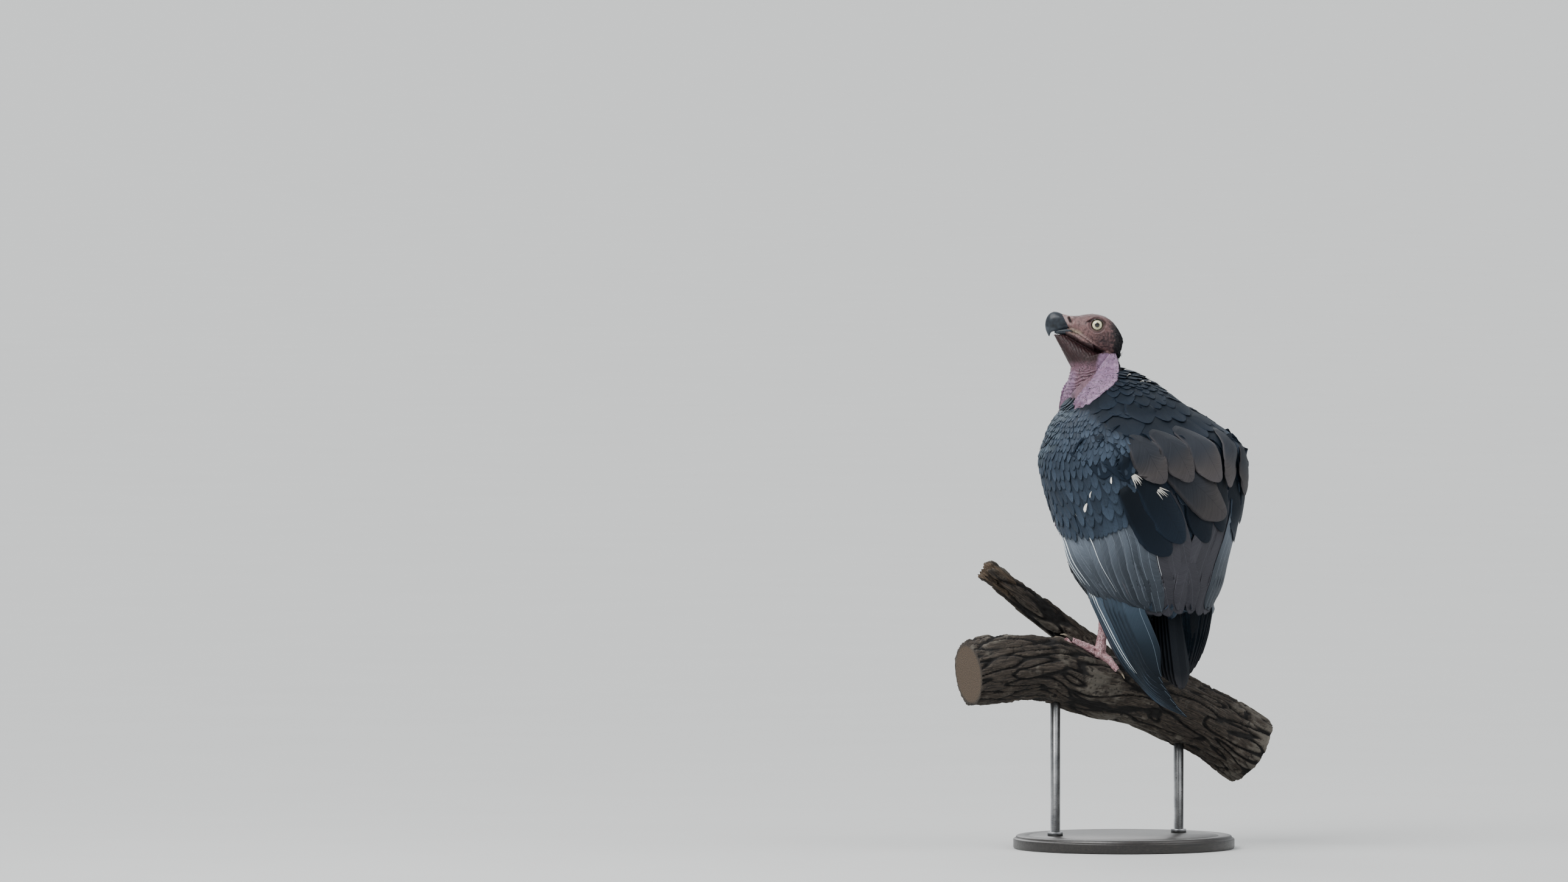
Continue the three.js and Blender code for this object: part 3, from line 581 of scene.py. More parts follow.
def bark_finish():
    """Dead bark: weathered grey-brown plates, cracks darkened as painted shade, raised ridges lightened as a
    painted highlight, and pale lichen.
    """
    finish, tree = new_finish("dead_bark", Roughness=0.9, IOR=1.5)
    place = from_mesh(tree, "limb_mm")
    # Fibres run along the limb: 1 to 2 mm across and 30 mm long.
    fibre = cloud(tree, vector_calc(tree, "MULTIPLY", place, (0.035, 0.55, 0.55)), 1.0, 6.0, 0.65)
    plates = ramp(tree, fibre, [(0.32, "#15120f"), (0.46, "#29231e"), (0.58, "#3d352d"), (0.72, "#575048")])
    lichen = remapped(tree, cloud(tree, place, 0.03, 5.0, 0.6), 0.56, 0.7, 0.0, 0.4, "SMOOTHSTEP")
    # Painted highlight: the raised ridges are lightened towards silver grey, together with the real pale
    # lichen.
    lichen_and_ridge_highlight = calc(tree, "MULTIPLY_ADD", from_mesh(tree, "painted_ridge_highlight", "Fac"), 0.5, lichen)
    greyed = mixed(tree, lichen_and_ridge_highlight, plates, "#6f6a61")
    # Painted shade: the cracks are darkened almost to black.
    sunk = remapped(tree, from_mesh(tree, "crack", "Fac"), 0.15, 0.6, 0.0, 1.0, "SMOOTHSTEP")
    cracked = mixed(tree, sunk, greyed, "#0a0807")
    heart = ramp(tree, fibre, [(0.35, "#2a211a"), (0.6, "#5b4c3c"), (0.8, "#7d6e5a")])
    opened = mixed(tree, from_mesh(tree, "bare_wood", "Fac"), cracked, heart)
    grit = cloud(tree, place, 0.5, 4.0, 0.7)
    return wired(finish, opened, calc(tree, "MULTIPLY_ADD", grit, 0.5, fibre), 0.7, 0.002)


def lacquer_finish():
    """Turned ash stained near black under satin lacquer: the open grain still shows."""
    finish, tree = new_finish("satin_lacquered_ash", Roughness=0.42, IOR=1.5, Coat_Weight=0.3,
                              Coat_Roughness=0.3)
    place = vector_calc(tree, "MULTIPLY", from_mesh(tree, "bird_mm"), (0.012, 0.3, 0.3))
    grain = cloud(tree, place, 1.0, 6.0, 0.6, 0.4)
    ground = ramp(tree, grain, [(0.35, "#110f0e"), (0.6, "#231f1c"), (0.75, "#332c27")])
    return wired(finish, ground, grain, 0.12, 0.0005, remapped(tree, grain, 0.3, 0.7, 0.5, 0.36))


def steel_finish():
    """Drawn stainless rod: brushed round its length, with faint handling marks."""
    finish, tree = new_finish("brushed_stainless_rod", Metallic=1.0, Roughness=0.3)
    place = from_mesh(tree, "bird_mm")
    brush = cloud(tree, vector_calc(tree, "MULTIPLY", place, (0.2, 0.2, 3.0)), 1.0, 5.0)
    ground = ramp(tree, cloud(tree, place, 0.04, 3.0), [(0.3, "#8b8d8f"), (0.7, "#b6b7b8")])
    return wired(finish, ground, brush, 0.08, 0.0002, remapped(tree, brush, 0.3, 0.7, 0.24, 0.42))


FACE_SKIN = skin_finish()
BILL_HORN = bill_finish()
IRIS = iris_finish()
LEG_SCALES = leg_finish()
CLAW_HORN = claw_finish()
BARK = bark_finish()
LACQUER = lacquer_finish()
STEEL = steel_finish()


# ---------------------------------------------------------------- camera, light and floor
# The camera looks along the bird's back-left from far off, so the view is nearly square on.
CAMERA_AZIMUTH = math.radians(140)
CAMERA_ELEVATION = math.radians(2)
CAMERA_DISTANCE = 31.48
CAMERA_LENS = 400.0
AIM = (466.8, -391.8, 735.0)
LAMP_DISTANCE = 3.0
LAMP_AIM = (0, 40, 700)
FLOOR_REACH = 600000.0


def at_home(point):
    return Vector((np.asarray(point, float) * MM + HOME).tolist())


def facing(made, azimuth, elevation, distance, aim):
    """Stands a camera or a light off from a spot, looking back at it."""
    back = Vector((
        math.sin(azimuth) * math.cos(elevation),
        -math.cos(azimuth) * math.cos(elevation),
        math.sin(elevation),
    ))
    made.location = at_home(aim) + back * distance
    made.rotation_mode = "QUATERNION"
    made.rotation_quaternion = (-back).to_track_quat("-Z", "Y")


def make_camera():
    data = bpy.data.cameras.new("camera")
    data.lens = CAMERA_LENS
    data.sensor_width = 36.0
    data.clip_end = 2000.0
    camera = linked("camera", data)
    facing(camera, CAMERA_AZIMUTH, CAMERA_ELEVATION, CAMERA_DISTANCE, AIM)
    bpy.context.scene.camera = camera


def lamp(name, kind, azimuth, elevation, strength, **settings):
    """A soft light that faces the bird: a far, wide one, or a near softbox."""
    data = bpy.data.lights.new(name, kind)
    data.energy = strength
    for key, value in settings.items():
        setattr(data, key, value)
    facing(linked(name, data), math.radians(azimuth), math.radians(elevation), LAMP_DISTANCE, LAMP_AIM)


def make_studio():
    wide = math.radians(50)
    lamp("key_light", "SUN", 88, 50, 2.4, angle=wide)
    lamp("back_light", "SUN", 205, 42, 1.1, angle=wide)
    lamp("front_light", "SUN", -25, 38, 1.2, angle=wide)
    lamp("window", "AREA", 100, 40, 45, size=1.6)
    world = bpy.data.worlds.new("studio")
    world.use_nodes = True
    sky = world.node_tree.nodes["Background"]
    sky.inputs["Color"].default_value = srgb("#e4e8eb")
    sky.inputs["Strength"].default_value = 0.75
    bpy.context.scene.world = world
    # Matt painted floor, so wide that its far edge is lost in the distance.
    finish, tree = new_finish("pale_studio_floor", Roughness=0.85)
    fleck = cloud(tree, add(tree, "TexCoord").outputs["Object"], 3.0, 4.0)
    wired(finish, ramp(tree, fleck, [(0.3, "#c4c5c4"), (0.7, "#c6c7c6")]))
    corners = [[x * FLOOR_REACH, y * FLOOR_REACH, 0] for x, y in ((-1, -1), (1, -1), (1, 1), (-1, 1))]
    floor = mesh_object("floor", corners, [[0, 1, 2, 3]], finish)


make_camera()
make_studio()


def settled(made, slot, *nodes):
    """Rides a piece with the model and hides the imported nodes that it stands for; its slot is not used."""
    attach(made, "root")
    if nodes:
        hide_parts(*nodes)
    return made


# ---------------------------------------------------------------- head, neck and body skin
# Side outline of the skull, forward and up from the eyes: top, bottom, half width.
SKULL = [
    (-46, -28, -44, -42, 8), (-43.6, -20.7, -40, -53, 20), (-36.5, -6.6, -34, -58, 27),
    (-26, 6.5, -22, -57, 31), (-12, 15.2, -8, -52, 32.5), (6, 19.2, 8, -44, 31), (20, 18.4, 22, -34, 26.5),
    (34, 16, 34, -25, 21.5), (48, 16, 42, -16, 17.5), (57, 18, 47, -10.5, 15.2), (64, 20, 50.6, -6.5, 14),
]
UPPER_BILL = [
    (62.6, 19.4, 49.4, -6.4, 13.2), (66, 20.8, 53, -7.2, 13.6), (72, 23, 60, -9.5, 13.4),
    (79, 23.3, 70, -11.5, 12.2), (86, 19.5, 78, -12.5, 10.4), (91, 12, 81.5, -13.5, 8.1),
    (93.5, 2, 83, -14.5, 6.0), (92.8, -8, 84, -16.5, 4.0), (90, -15.5, 85, -19, 2.2),
    (87.2, -21, 86, -21.8, 0.5),
]
LOWER_BILL = [
    (44, -5, 41, -20.5, 10.6), (56, -5, 54, -19, 9.2), (67, -7, 66, -17.8, 7.2), (73, -9, 72.4, -16.8, 5.0),
    (77, -11.5, 76.6, -15.5, 1.8),
]
THROAT = [
    (79.6, -18, 58, -18, 6.2), (74.4, -25, 44, -26, 12), (67.3, -39, 26, -36, 18), (58.9, -54, 6, -46, 24),
    (51.9, -68, -14, -54, 28), (47.3, -77.5, -30, -60, 31),
]
JAW = [
    (58, -11, 55, -20.5, 11.4), (49, -10.5, 45, -27, 14.6), (37, -14, 32, -35, 18.6),
    (23, -21, 19, -42, 23.2), (8, -30, 5, -48, 26.5),
]
NECK = [
    (45, -64, -36, -44, 29, 0), (47.2, -78, -36, -58, 31, 0), (50, -92, -37, -78, 33, -1),
    (54, -106, -36, -99, 36, -4), (60, -126, -34, -122, 40, -10), (66, -152, -32, -148, 44, -18),
    (66, -176, -30, -172, 46, -24),
]
LAPPETS = {
    "left": {
        "hind": [(-34, -52, 27), (-39, -70, 31), (-36, -97, 36), (-8, -122, 39), (20, -144, 31),
                 (50, -165, 13)],
        "fore": [(-22, -52, 30), (-6, -72, 36), (8, -92, 39), (26, -114, 40), (44, -140, 34),
                 (58, -161, 15)],
    },
    "right": {
        "hind": [(-30, -54, -27), (-28, -76, -34), (-10, -100, -40), (18, -122, -44), (42, -146, -46),
                 (56, -162, -44)],
        "fore": [(-14, -54, -31), (12, -78, -36), (38, -94, -34), (57, -108, -28), (66, -130, -28),
                 (68, -152, -30)],
    },
}


def head_loft(stations, count, around, squareness=2.15):
    """Rings through side-outline stations of the head's frame, evened out along it."""
    fine = through([s + (0,) * (6 - len(s)) for s in stations], count)
    top, bottom = fine[:, 0:2], fine[:, 2:4]
    centre, tall = (top + bottom) / 2, (top - bottom) / 2
    turn = np.linspace(0, 2 * np.pi, around, endpoint=False)
    c, s = power(np.cos(turn), 2 / squareness), power(np.sin(turn), 2 / squareness)
    forward = centre[:, :1] + tall[:, :1] * c
    up = centre[:, 1:] + tall[:, 1:] * c
    left = fine[:, 5:6] + fine[:, 4:5] * s
    return in_head(forward, up, left)


# How far the left lappet's edge lies above the shoulder, and how far out the ray that finds it starts.
LAPPET_RISE = 10.0
BEYOND_SHOULDER = 240.0
LAPPET_THICKNESS = 4.3


def rested(line, ground):
    """A fold's edge, lifted over the shoulder wherever that lies in its way, and evened out."""
    out = line.copy()
    for i, (forward, up, _) in enumerate(line):
        spot = ground.ray_cast(Vector(in_head(forward, up, BEYOND_SHOULDER)), Vector(-HEAD_AXES[2]))[0]
        if spot is not None:
            out[i, 2] = max(out[i, 2], to_head(np.array(spot))[2] + LAPPET_RISE)
    weights = np.hanning(17)[1:-1]
    padded = np.pad(out[:, 2], len(weights) // 2, mode="edge")
    out[:, 2] = np.convolve(padded, weights / weights.sum(), mode="valid")
    return out


def lappet_lines(name, ground, count=60):
    """The hind and fore edges of a lappet, as points."""
    lines = [through(LAPPETS[name][key], count) for key in ("hind", "fore")]
    if name == "left":
        lines = [rested(line, ground) for line in lines]
    return [in_head(*line.T) for line in lines]


def lappet_rings(hind, fore):
    """The neck's free fold: thick where it leaves the neck, thin and rolled at its free edge."""
    width = (hind - fore) / 2
    thick = unit(np.cross(width, unit(np.gradient(hind, axis=0))))
    t = np.linspace(0, 1, len(hind))[:, None, None]
    swell = LAPPET_THICKNESS * (0.45 + 0.55 * np.sin(np.pi * (0.1 + 0.8 * t)))
    turn = np.linspace(0, 2 * np.pi, 24, endpoint=False)[None, :, None]
    return (hind + fore)[:, None] / 2 + width[:, None] * np.cos(turn) + thick[:, None] * np.sin(turn) * swell


# Raised folds of the face, as lines of (forward, up, left) on the left side with their half sizes.
FOLDS = [
    ([(19, 6.5, 24.5), (11, 11.6, 28), (0, 13.2, 29.6), (-11, 9.6, 30.6), (-15, 4, 31)], 2.6, 3.0),
    ([(47, -9.5, 15.5), (34, -15, 19.5), (20, -24, 24.5), (6, -34, 27.5), (-8, -42, 28)], 2.2, 2.0),
    ([(55, -7.5, 13.5), (46, -8.2, 16), (36, -10, 19), (27, -12.5, 22)], 1.5, 1.5),
    ([(53, 16.5, 13.2), (47.5, 12.5, 16.6), (45, 6, 17.4), (47, 0.5, 17)], 1.5, 1.6),
    ([(-14, -4, 31.6), (-19, -14, 31.8), (-18, -26, 31)], 1.6, 1.2),
]
# Radii of the opening of the lids, of their inner edge and of the top of their rim.
LID_OPENING, LID_EDGE, LID_RIM = 9.7, 10.2, 10.7
NOSTRIL = (49.0, 8.8)
NOSTRIL_LEAN = math.radians(-24)
# Edge of the even quads that each region of skin is made of, in mm.
FACE_QUAD, BODY_QUAD, LEG_QUAD = 0.95, 4.0, 1.3
COAT_DEPTH = 7.0


def eye_ring(forward, up):
    """The distance from the eye's middle, slightly wider than tall."""
    return np.hypot(forward / 1.04, up)


def face_skin(lappets):
    """Head, throat, neck and lappets as one closed skin, with lids, brow, nostrils and wrinkles."""
    lofts = [head_loft(SKULL, 60, 48), head_loft(JAW, 24, 40), head_loft(THROAT, 30, 40),
             head_loft(NECK, 40, 48)]
    lofts += [lappet_rings(*lines) for lines in lappets]
    for side in SIDES:
        for line, across, above in FOLDS:
            f, u, left = through(line, 24).T
            ends = np.sin(np.pi * np.linspace(0.06, 0.94, 24)) ** 0.6
            lofts.append(tube(in_head(f, u, side * left), across * ends, above * ends, 10))
    parts = [mesh_object("loft", *loft(rings)) for rings in lofts]
    head = remeshed(joined("face", parts), FACE_QUAD, relax=5)
    forward, up, left = to_head(points_of(head)).T
    side, apart = np.sign(left), np.abs(left)
    normal = normals_of(head)

    # Orbits: skin tucks in behind the eyeball, and rises in a rim and a soft furrow round it.
    ring = eye_ring(forward, up)
    outer = apart > 12
    ball = EYE_OFFSET + np.sqrt(np.maximum(EYE_RADIUS**2 - ring**2, 0))
    apart = np.where((ring < LID_OPENING) & outer, np.minimum(apart, ball - 2.5), apart)
    rim = EYE_OFFSET + math.sqrt(EYE_RADIUS**2 - LID_EDGE**2) + 2.2
    apart += outer * bell(ring, LID_RIM, 1.15) * np.clip(rim - apart, -1, 2.5)
    apart -= outer * 1.3 * bell(ring, 13.4, 1.3)
    apart += outer * 0.7 * bell(ring, 16, 1.4) * (up < 6)

    # Nostril: a slanting slot sunk into the cere.
    f, u = forward - NOSTRIL[0], up - NOSTRIL[1]
    a = f * math.cos(NOSTRIL_LEAN) + u * math.sin(NOSTRIL_LEAN)
    b = u * math.cos(NOSTRIL_LEAN) - f * math.sin(NOSTRIL_LEAN)
    apart -= 7.0 * bell(a, 0, 2.3, 4) * bell(b, 0, 5.6, 4) * (apart > 6)
    points = in_head(forward, up, side * apart)

    # Wrinkles: fine ones run down the throat, and coarse level ones cross the foreneck.
    throat = smooth(-up - 0.55 * (55 - forward), 6, 16) * smooth(88 + up, 0, 14)
    foreneck = smooth(-up, 74, 92)
    cheek = smooth(-up, 4, 18) * (1 - throat) * smooth(88 + up, 0, 20) * (forward > -30)
    jitter, fine = wavering(points, 0.06), wavering(points, 0.3)
    pleats = np.sin((forward * 0.88 - up * 0.48 + 2.5 * jitter) * 1.25) * (0.6 + 0.8 * np.abs(jitter))
    rows = np.sin((up + 0.12 * forward + 7 * jitter) * 0.95)
    # Long folds hang to the neck's foot, where they spread, and one deep fold parts them in front.
    foot = smooth(-up, 118, 140)
    hanging = np.sin((left * 0.75 + 6 * jitter) * 0.6) * foot
    deep = bell(forward - 5 * jitter, 45, 3) * smooth(-up, 112, 126)
    depth = (
        throat * 0.35 * pleats
        + foreneck * (1 - foot) * 0.75 * rows
        + 1.7 * hanging
        + (cheek * 0.35 + 0.3) * fine
        - 3.2 * deep
    )
    set_points(head, points + normal * depth[:, None])
    return head


FLESH_NODES = ["trunk", "wing_left_arm", "wing_right_arm", "thigh_left", "thigh_right"]


def body_skin():
    """Trunk, wing arms and thighs as one skin, drawn in by the coat's depth."""
    body = remeshed(joined("flesh", [copied(node) for node in FLESH_NODES]), BODY_QUAD, relax=14)
    set_points(body, points_of(body) - normals_of(body) * COAT_DEPTH)
    return body


def leg_skin(name):
    """Bare shank and toes with rows of raised plates over the front of each."""
    legs = remeshed(joined("leg", [copied(f"shank_{name}"), copied(f"foot_{name}")]), LEG_QUAD, relax=6)
    points = points_of(legs)
    plates = np.array([noise.voronoi(Vector((p[0] * 0.16, p[1] * 0.16, p[2] * 0.2)))[0][0] for p in points])
    across = np.abs(np.sin(points[:, 2] * np.pi / 6.5)) ** 0.35
    on_shank = smooth(points[:, 2], 372, 392)
    raised = on_shank * (across - 0.8) * 1.3 + (1 - on_shank) * (0.45 - plates) * 1.6
    set_points(legs, points + normals_of(legs) * raised[:, None])
    return legs


PALETTE = {
    "face": "#6b504f", "crown": "#614a4a", "cere": "#927e7d", "dusk": "#2c2024", "rim": "#8c726f",
    "gape": "#8a7d68", "throat": "#2b1819", "neck": "#6b4f5b", "lappet": "#816781", "edge": "#917791",
    "orbit": "#2e2519", "brow": "#342425", "nape": "#151114", "body": "#3a2d30", "base": "#54303a",
    "pit": "#0e0808",
}


def skin_marks(points, lappets):
    """The skin's colour at points, and how densely dark pits dot it, from regions of the head."""
    forward, up, left = to_head(points).T
    apart = np.abs(left)
    colour = {key: np.array(srgb(code)) for key, code in PALETTE.items()}
    out = np.tile(colour["body"], (len(points), 1))

    def paint(key, share):
        nonlocal out
        out = blend(out, colour[key], np.clip(share, 0, 1)[:, None])

    is_head = smooth(up, -190, -178)
    wander = 9 * wavering(points, 0.05)
    mottle = wavering(points, 0.22)
    paint("neck", is_head)
    paint("face", smooth(up, -62, -52))
    paint("crown", smooth(up, 8, 15))
    # Maroon throat, from the chin to the first wrinkles of the neck, with a paler keel.
    jaw = up + 14 + 0.52 * (52 - forward) + 0.3 * wander
    chin = (1 - smooth(jaw, -3, 3)) * smooth(up, -78, -62)
    paint("throat", chin * smooth(up + wander, -84, -74))
    paint("rim", chin * (1 - smooth(apart, 0, 5)) * smooth(forward, 40, 55) * 0.8)
    # Pale cheek band along the jaw, and the yellowish corner of the gape.
    paint("rim", bell(jaw, 5.5, 4.5) * smooth(forward, -2, 22) * 0.75)
    paint("gape", bell(up + 0.25 * (40 - forward), -12, 4) * bell(forward, 40, 12, 4) * 0.75)
    # Darker, mottled skin over the ear, the temple and the nape.
    ear = bell(forward, -15, 25) * bell(up + 0.4 * wander, -33, 20) * (up > -64)
    paint("dusk", ear * (0.72 + 0.7 * mottle))
    paint("dusk", smooth(-forward, 12, 30) * smooth(up, -40, -10) * (0.5 + 0.9 * mottle))
    paint("nape", smooth(-forward + 4 * mottle, 24, 34) * smooth(up, -60, -46))
    paint("cere", smooth(forward, 42, 49) * smooth(up + 0.4 * (forward - 50), -2, 5) * 0.8)
    # Dark skin round the lids, painted shade in the furrow round the orbit and in a band under the brow fold,
    # and a paler rim at the nostril.
    ring = eye_ring(forward, up)
    paint("orbit", bell(ring, LID_EDGE, 1.4) * (apart > 12) * 0.95)
    paint("dusk", bell(ring, 13.6, 1.3) * (apart > 12) * 0.45)
    under_brow = bell(up + 0.018 * (forward - 2) ** 2, 9.8, 2.1) * (np.abs(forward - 3) < 19)
    paint("brow", under_brow * (apart > 14) * 0.85)
    paint("rim", bell(np.hypot((forward - 46.5) / 0.8, (up - 7.5) / 1.7), 4.6, 1.5) * (apart > 8) * 0.85)
    # Painted shade: the sunk nostril slot is painted near black.
    high = up - NOSTRIL[1]
    paint("pit", bell(forward - 0.42 * high, NOSTRIL[0], 2.1, 4) * bell(high, 0, 5.6, 4) * (apart > 6))
    # The foreneck is lilac again towards its front edge, beside a deep fold whose dark colour is painted
    # shade.
    paint("lappet", smooth(forward + 0.1 * up, 24, 36) * smooth(-up, 78, 92) * 0.8)
    paint("throat", bell(forward - 0.6 * wander, 45, 3.2) * smooth(-up, 112, 124) * 0.8)
    # Lappets: lilac, with a clean pale free edge; the neck's foot is a deeper rose.
    near = is_head > 0
    for hind, fore in lappets:
        for key, line, inner, outer in (("lappet", (hind + fore) / 2, 18, 27), ("edge", hind, 5, 11)):
            away = np.full(len(points), FAR)
            for spot in line:
                away[near] = np.minimum(away[near], np.linalg.norm(points[near] - spot, axis=1))
            paint(key, (1 - smooth(away, inner, outer)) * smooth(-up + 3 * mottle, 49, 55))
    paint("base", smooth(-up, 128, 150) * 0.5 * (forward > 30))
    above_jaw = smooth(up + 0.62 * (forward + 20) + 34, -4, 6)
    dots = 0.25 + 0.75 * smooth(-up, 60, 80) + 0.35 * above_jaw * smooth(-up, 4, 14)
    return out, np.clip(dots, 0, 1) * is_head


def bill(name, stations, hooked):
    """A horn of the bill: rings through its stations; the hooked upper one has a pinched, worn edge."""
    rings = head_loft(stations, 70, 44, 2.3)
    shape = to_head(rings.reshape(-1, 3)).reshape(rings.shape)
    middle = shape.mean(1, keepdims=True)
    local = shape - middle
    high = local[..., 1] / (np.abs(local[..., 1]).max(1, keepdims=True) + 1e-6)
    # The culmen is narrower than an oval, and the sides pinch in just above the cutting edge.
    local[..., 2] *= 1 - 0.16 * smooth(high, 0.35, 1.0) - 0.1 * bell(high, -0.55, 0.2) * hooked
    made = mesh_object(name, *loft(in_head(*np.moveaxis(middle + local, -1, 0))), BILL_HORN)
    head_mm = to_head(points_of(made))
    stored(made, "head_mm", head_mm)
    forward, up, _ = head_mm.T
    rim = smooth(0.25 * (forward - 66) - 10.5 - up, -2.5, 1.5)
    base = 1 - smooth(forward + 0.35 * up, 52, 58)
    worn = np.clip(0.55 * rim + 0.35 * base + 0.5 * smooth(forward - 0.12 * up, 91, 96), 0, 1)
    stored(made, "worn", worn * hooked, "FLOAT")
    return made


def eyeball(side):
    """A glossy eyeball with a slightly bulging clear front."""
    centre = in_head(0, 0, side * EYE_OFFSET)
    fall = np.linspace(0, math.radians(112), 41)[1:]
    turn = np.linspace(0, 2 * np.pi, 64, endpoint=False)
    bulge = 1 + 0.045 * np.cos(fall * 1.9).clip(0, 1)
    out = (EYE_RADIUS * np.cos(fall) * bulge)[:, None] + 0 * turn
    reach = (EYE_RADIUS * np.sin(fall))[:, None]
    local = np.stack([reach * np.cos(turn), reach * np.sin(turn), side * out], -1)
    name = f"eye_{SIDES[side]}"
    made = mesh_object(f"{name}_ball", *loft(centre + local @ HEAD_AXES), IRIS)
    at = (points_of(made) - centre) @ HEAD_AXES.T
    radius = np.hypot(at[:, 0], at[:, 1]) + np.where(at[:, 2] * side < 0, EYE_RADIUS, 0)
    stored(made, "iris", np.column_stack([radius, np.arctan2(at[:, 1], at[:, 0]), 0 * radius]))
    surface = bmesh.new()
    surface.from_mesh(made.data)
    bmesh.ops.recalc_face_normals(surface, faces=surface.faces)
    surface.to_mesh(made.data)
    surface.free()
    return settled(made, "iris", name)


SKIN_NODES = [
    "head", "throat", "neck", "lappet_left", "lappet_right", *FLESH_NODES, "shank_left", "shank_right",
    "foot_left", "foot_right",
]


def make_skin():
    """The one skin: face, body and legs, each as fine as it needs to be."""
    body = dressed(body_skin(), FACE_SKIN)
    ground = surface_of(body)[2]
    lappets = [lappet_lines(name, ground) for name in LAPPETS]
    face = dressed(face_skin(lappets), FACE_SKIN)
    legs = [dressed(leg_skin(name), LEG_SCALES) for name in SIDES.values()]
    skin = joined("skin", [face, body, *legs])
    points = points_of(skin)
    colour, dots = skin_marks(points, lappets)
    stored(skin, "markings", colour, "FLOAT_COLOR")
    stored(skin, "dots", dots, "FLOAT")
    stored(skin, "bird_mm", points)
    return settled(skin, "face_skin", *SKIN_NODES)


skin = make_skin()
settled(bill("bill_upper_horn", UPPER_BILL, True), "bill_horn", "bill_upper")
settled(bill("bill_lower_horn", LOWER_BILL, False), "bill_horn", "bill_lower")
for side in SIDES:
    eyeball(side)


# ---------------------------------------------------------------- vanes
# A tract is one mesh of many closed vanes. Each vane is a set of rings along its shaft; a ring
# runs over the top from edge to edge and back under the middle.
UNWRAP_LOW, UNWRAP_HIGH = 230.0, 990.0
PATCH = 0.0015


def unwrap(points):
    """Where roots lie on the skin unrolled round the body's own upright axis: 0 to 1 each way."""
    middle = plumage(points[:, 2])[:, 3]
    turn = np.arctan2(points[:, 0], -(points[:, 1] - middle)) / (2 * np.pi) + 0.5
    high = (points[:, 2] - UNWRAP_LOW) / (UNWRAP_HIGH - UNWRAP_LOW)
    return np.clip(np.column_stack([turn, high]), 0.003, 0.997)


# Half width along a feather, as a share of its widest: (share of its length, share of the width).
BROAD = table([[0, 0.4], [0.25, 0.78], [0.55, 1.0], [0.8, 1.0], [0.93, 0.86], [1, 0.55]])
NARROW = table([[0, 0.45], [0.3, 0.9], [0.6, 1.0], [0.82, 0.85], [0.94, 0.6], [1, 0.3]])
QUILL = table([[0, 0.6], [0.2, 0.9], [0.5, 1.0], [0.86, 0.97], [0.95, 0.84], [1, 0.5]])
WISP = table([[0, 0.6], [0.3, 1.0], [0.7, 0.6], [1, 0.05]])
SHAFT_TAPER = table([[0, 1.0], [0.6, 0.7], [1, 0.3]])


def stations_along(count):
    """Shares of a feather's length, closer together towards its rounded tip."""
    return 1 - (1 - np.linspace(0, 1, count)) ** 1.45


def arc_share(lines):
    """How far along its own line each station lies, from 0 to 1."""
    steps = np.linalg.norm(np.diff(lines, axis=1), axis=2)
    run = np.concatenate([np.zeros((len(lines), 1)), np.cumsum(steps, axis=1)], axis=1)
    return run / run[:, -1:]


def column(values):
    return np.asarray(values, float).reshape(-1, 1)


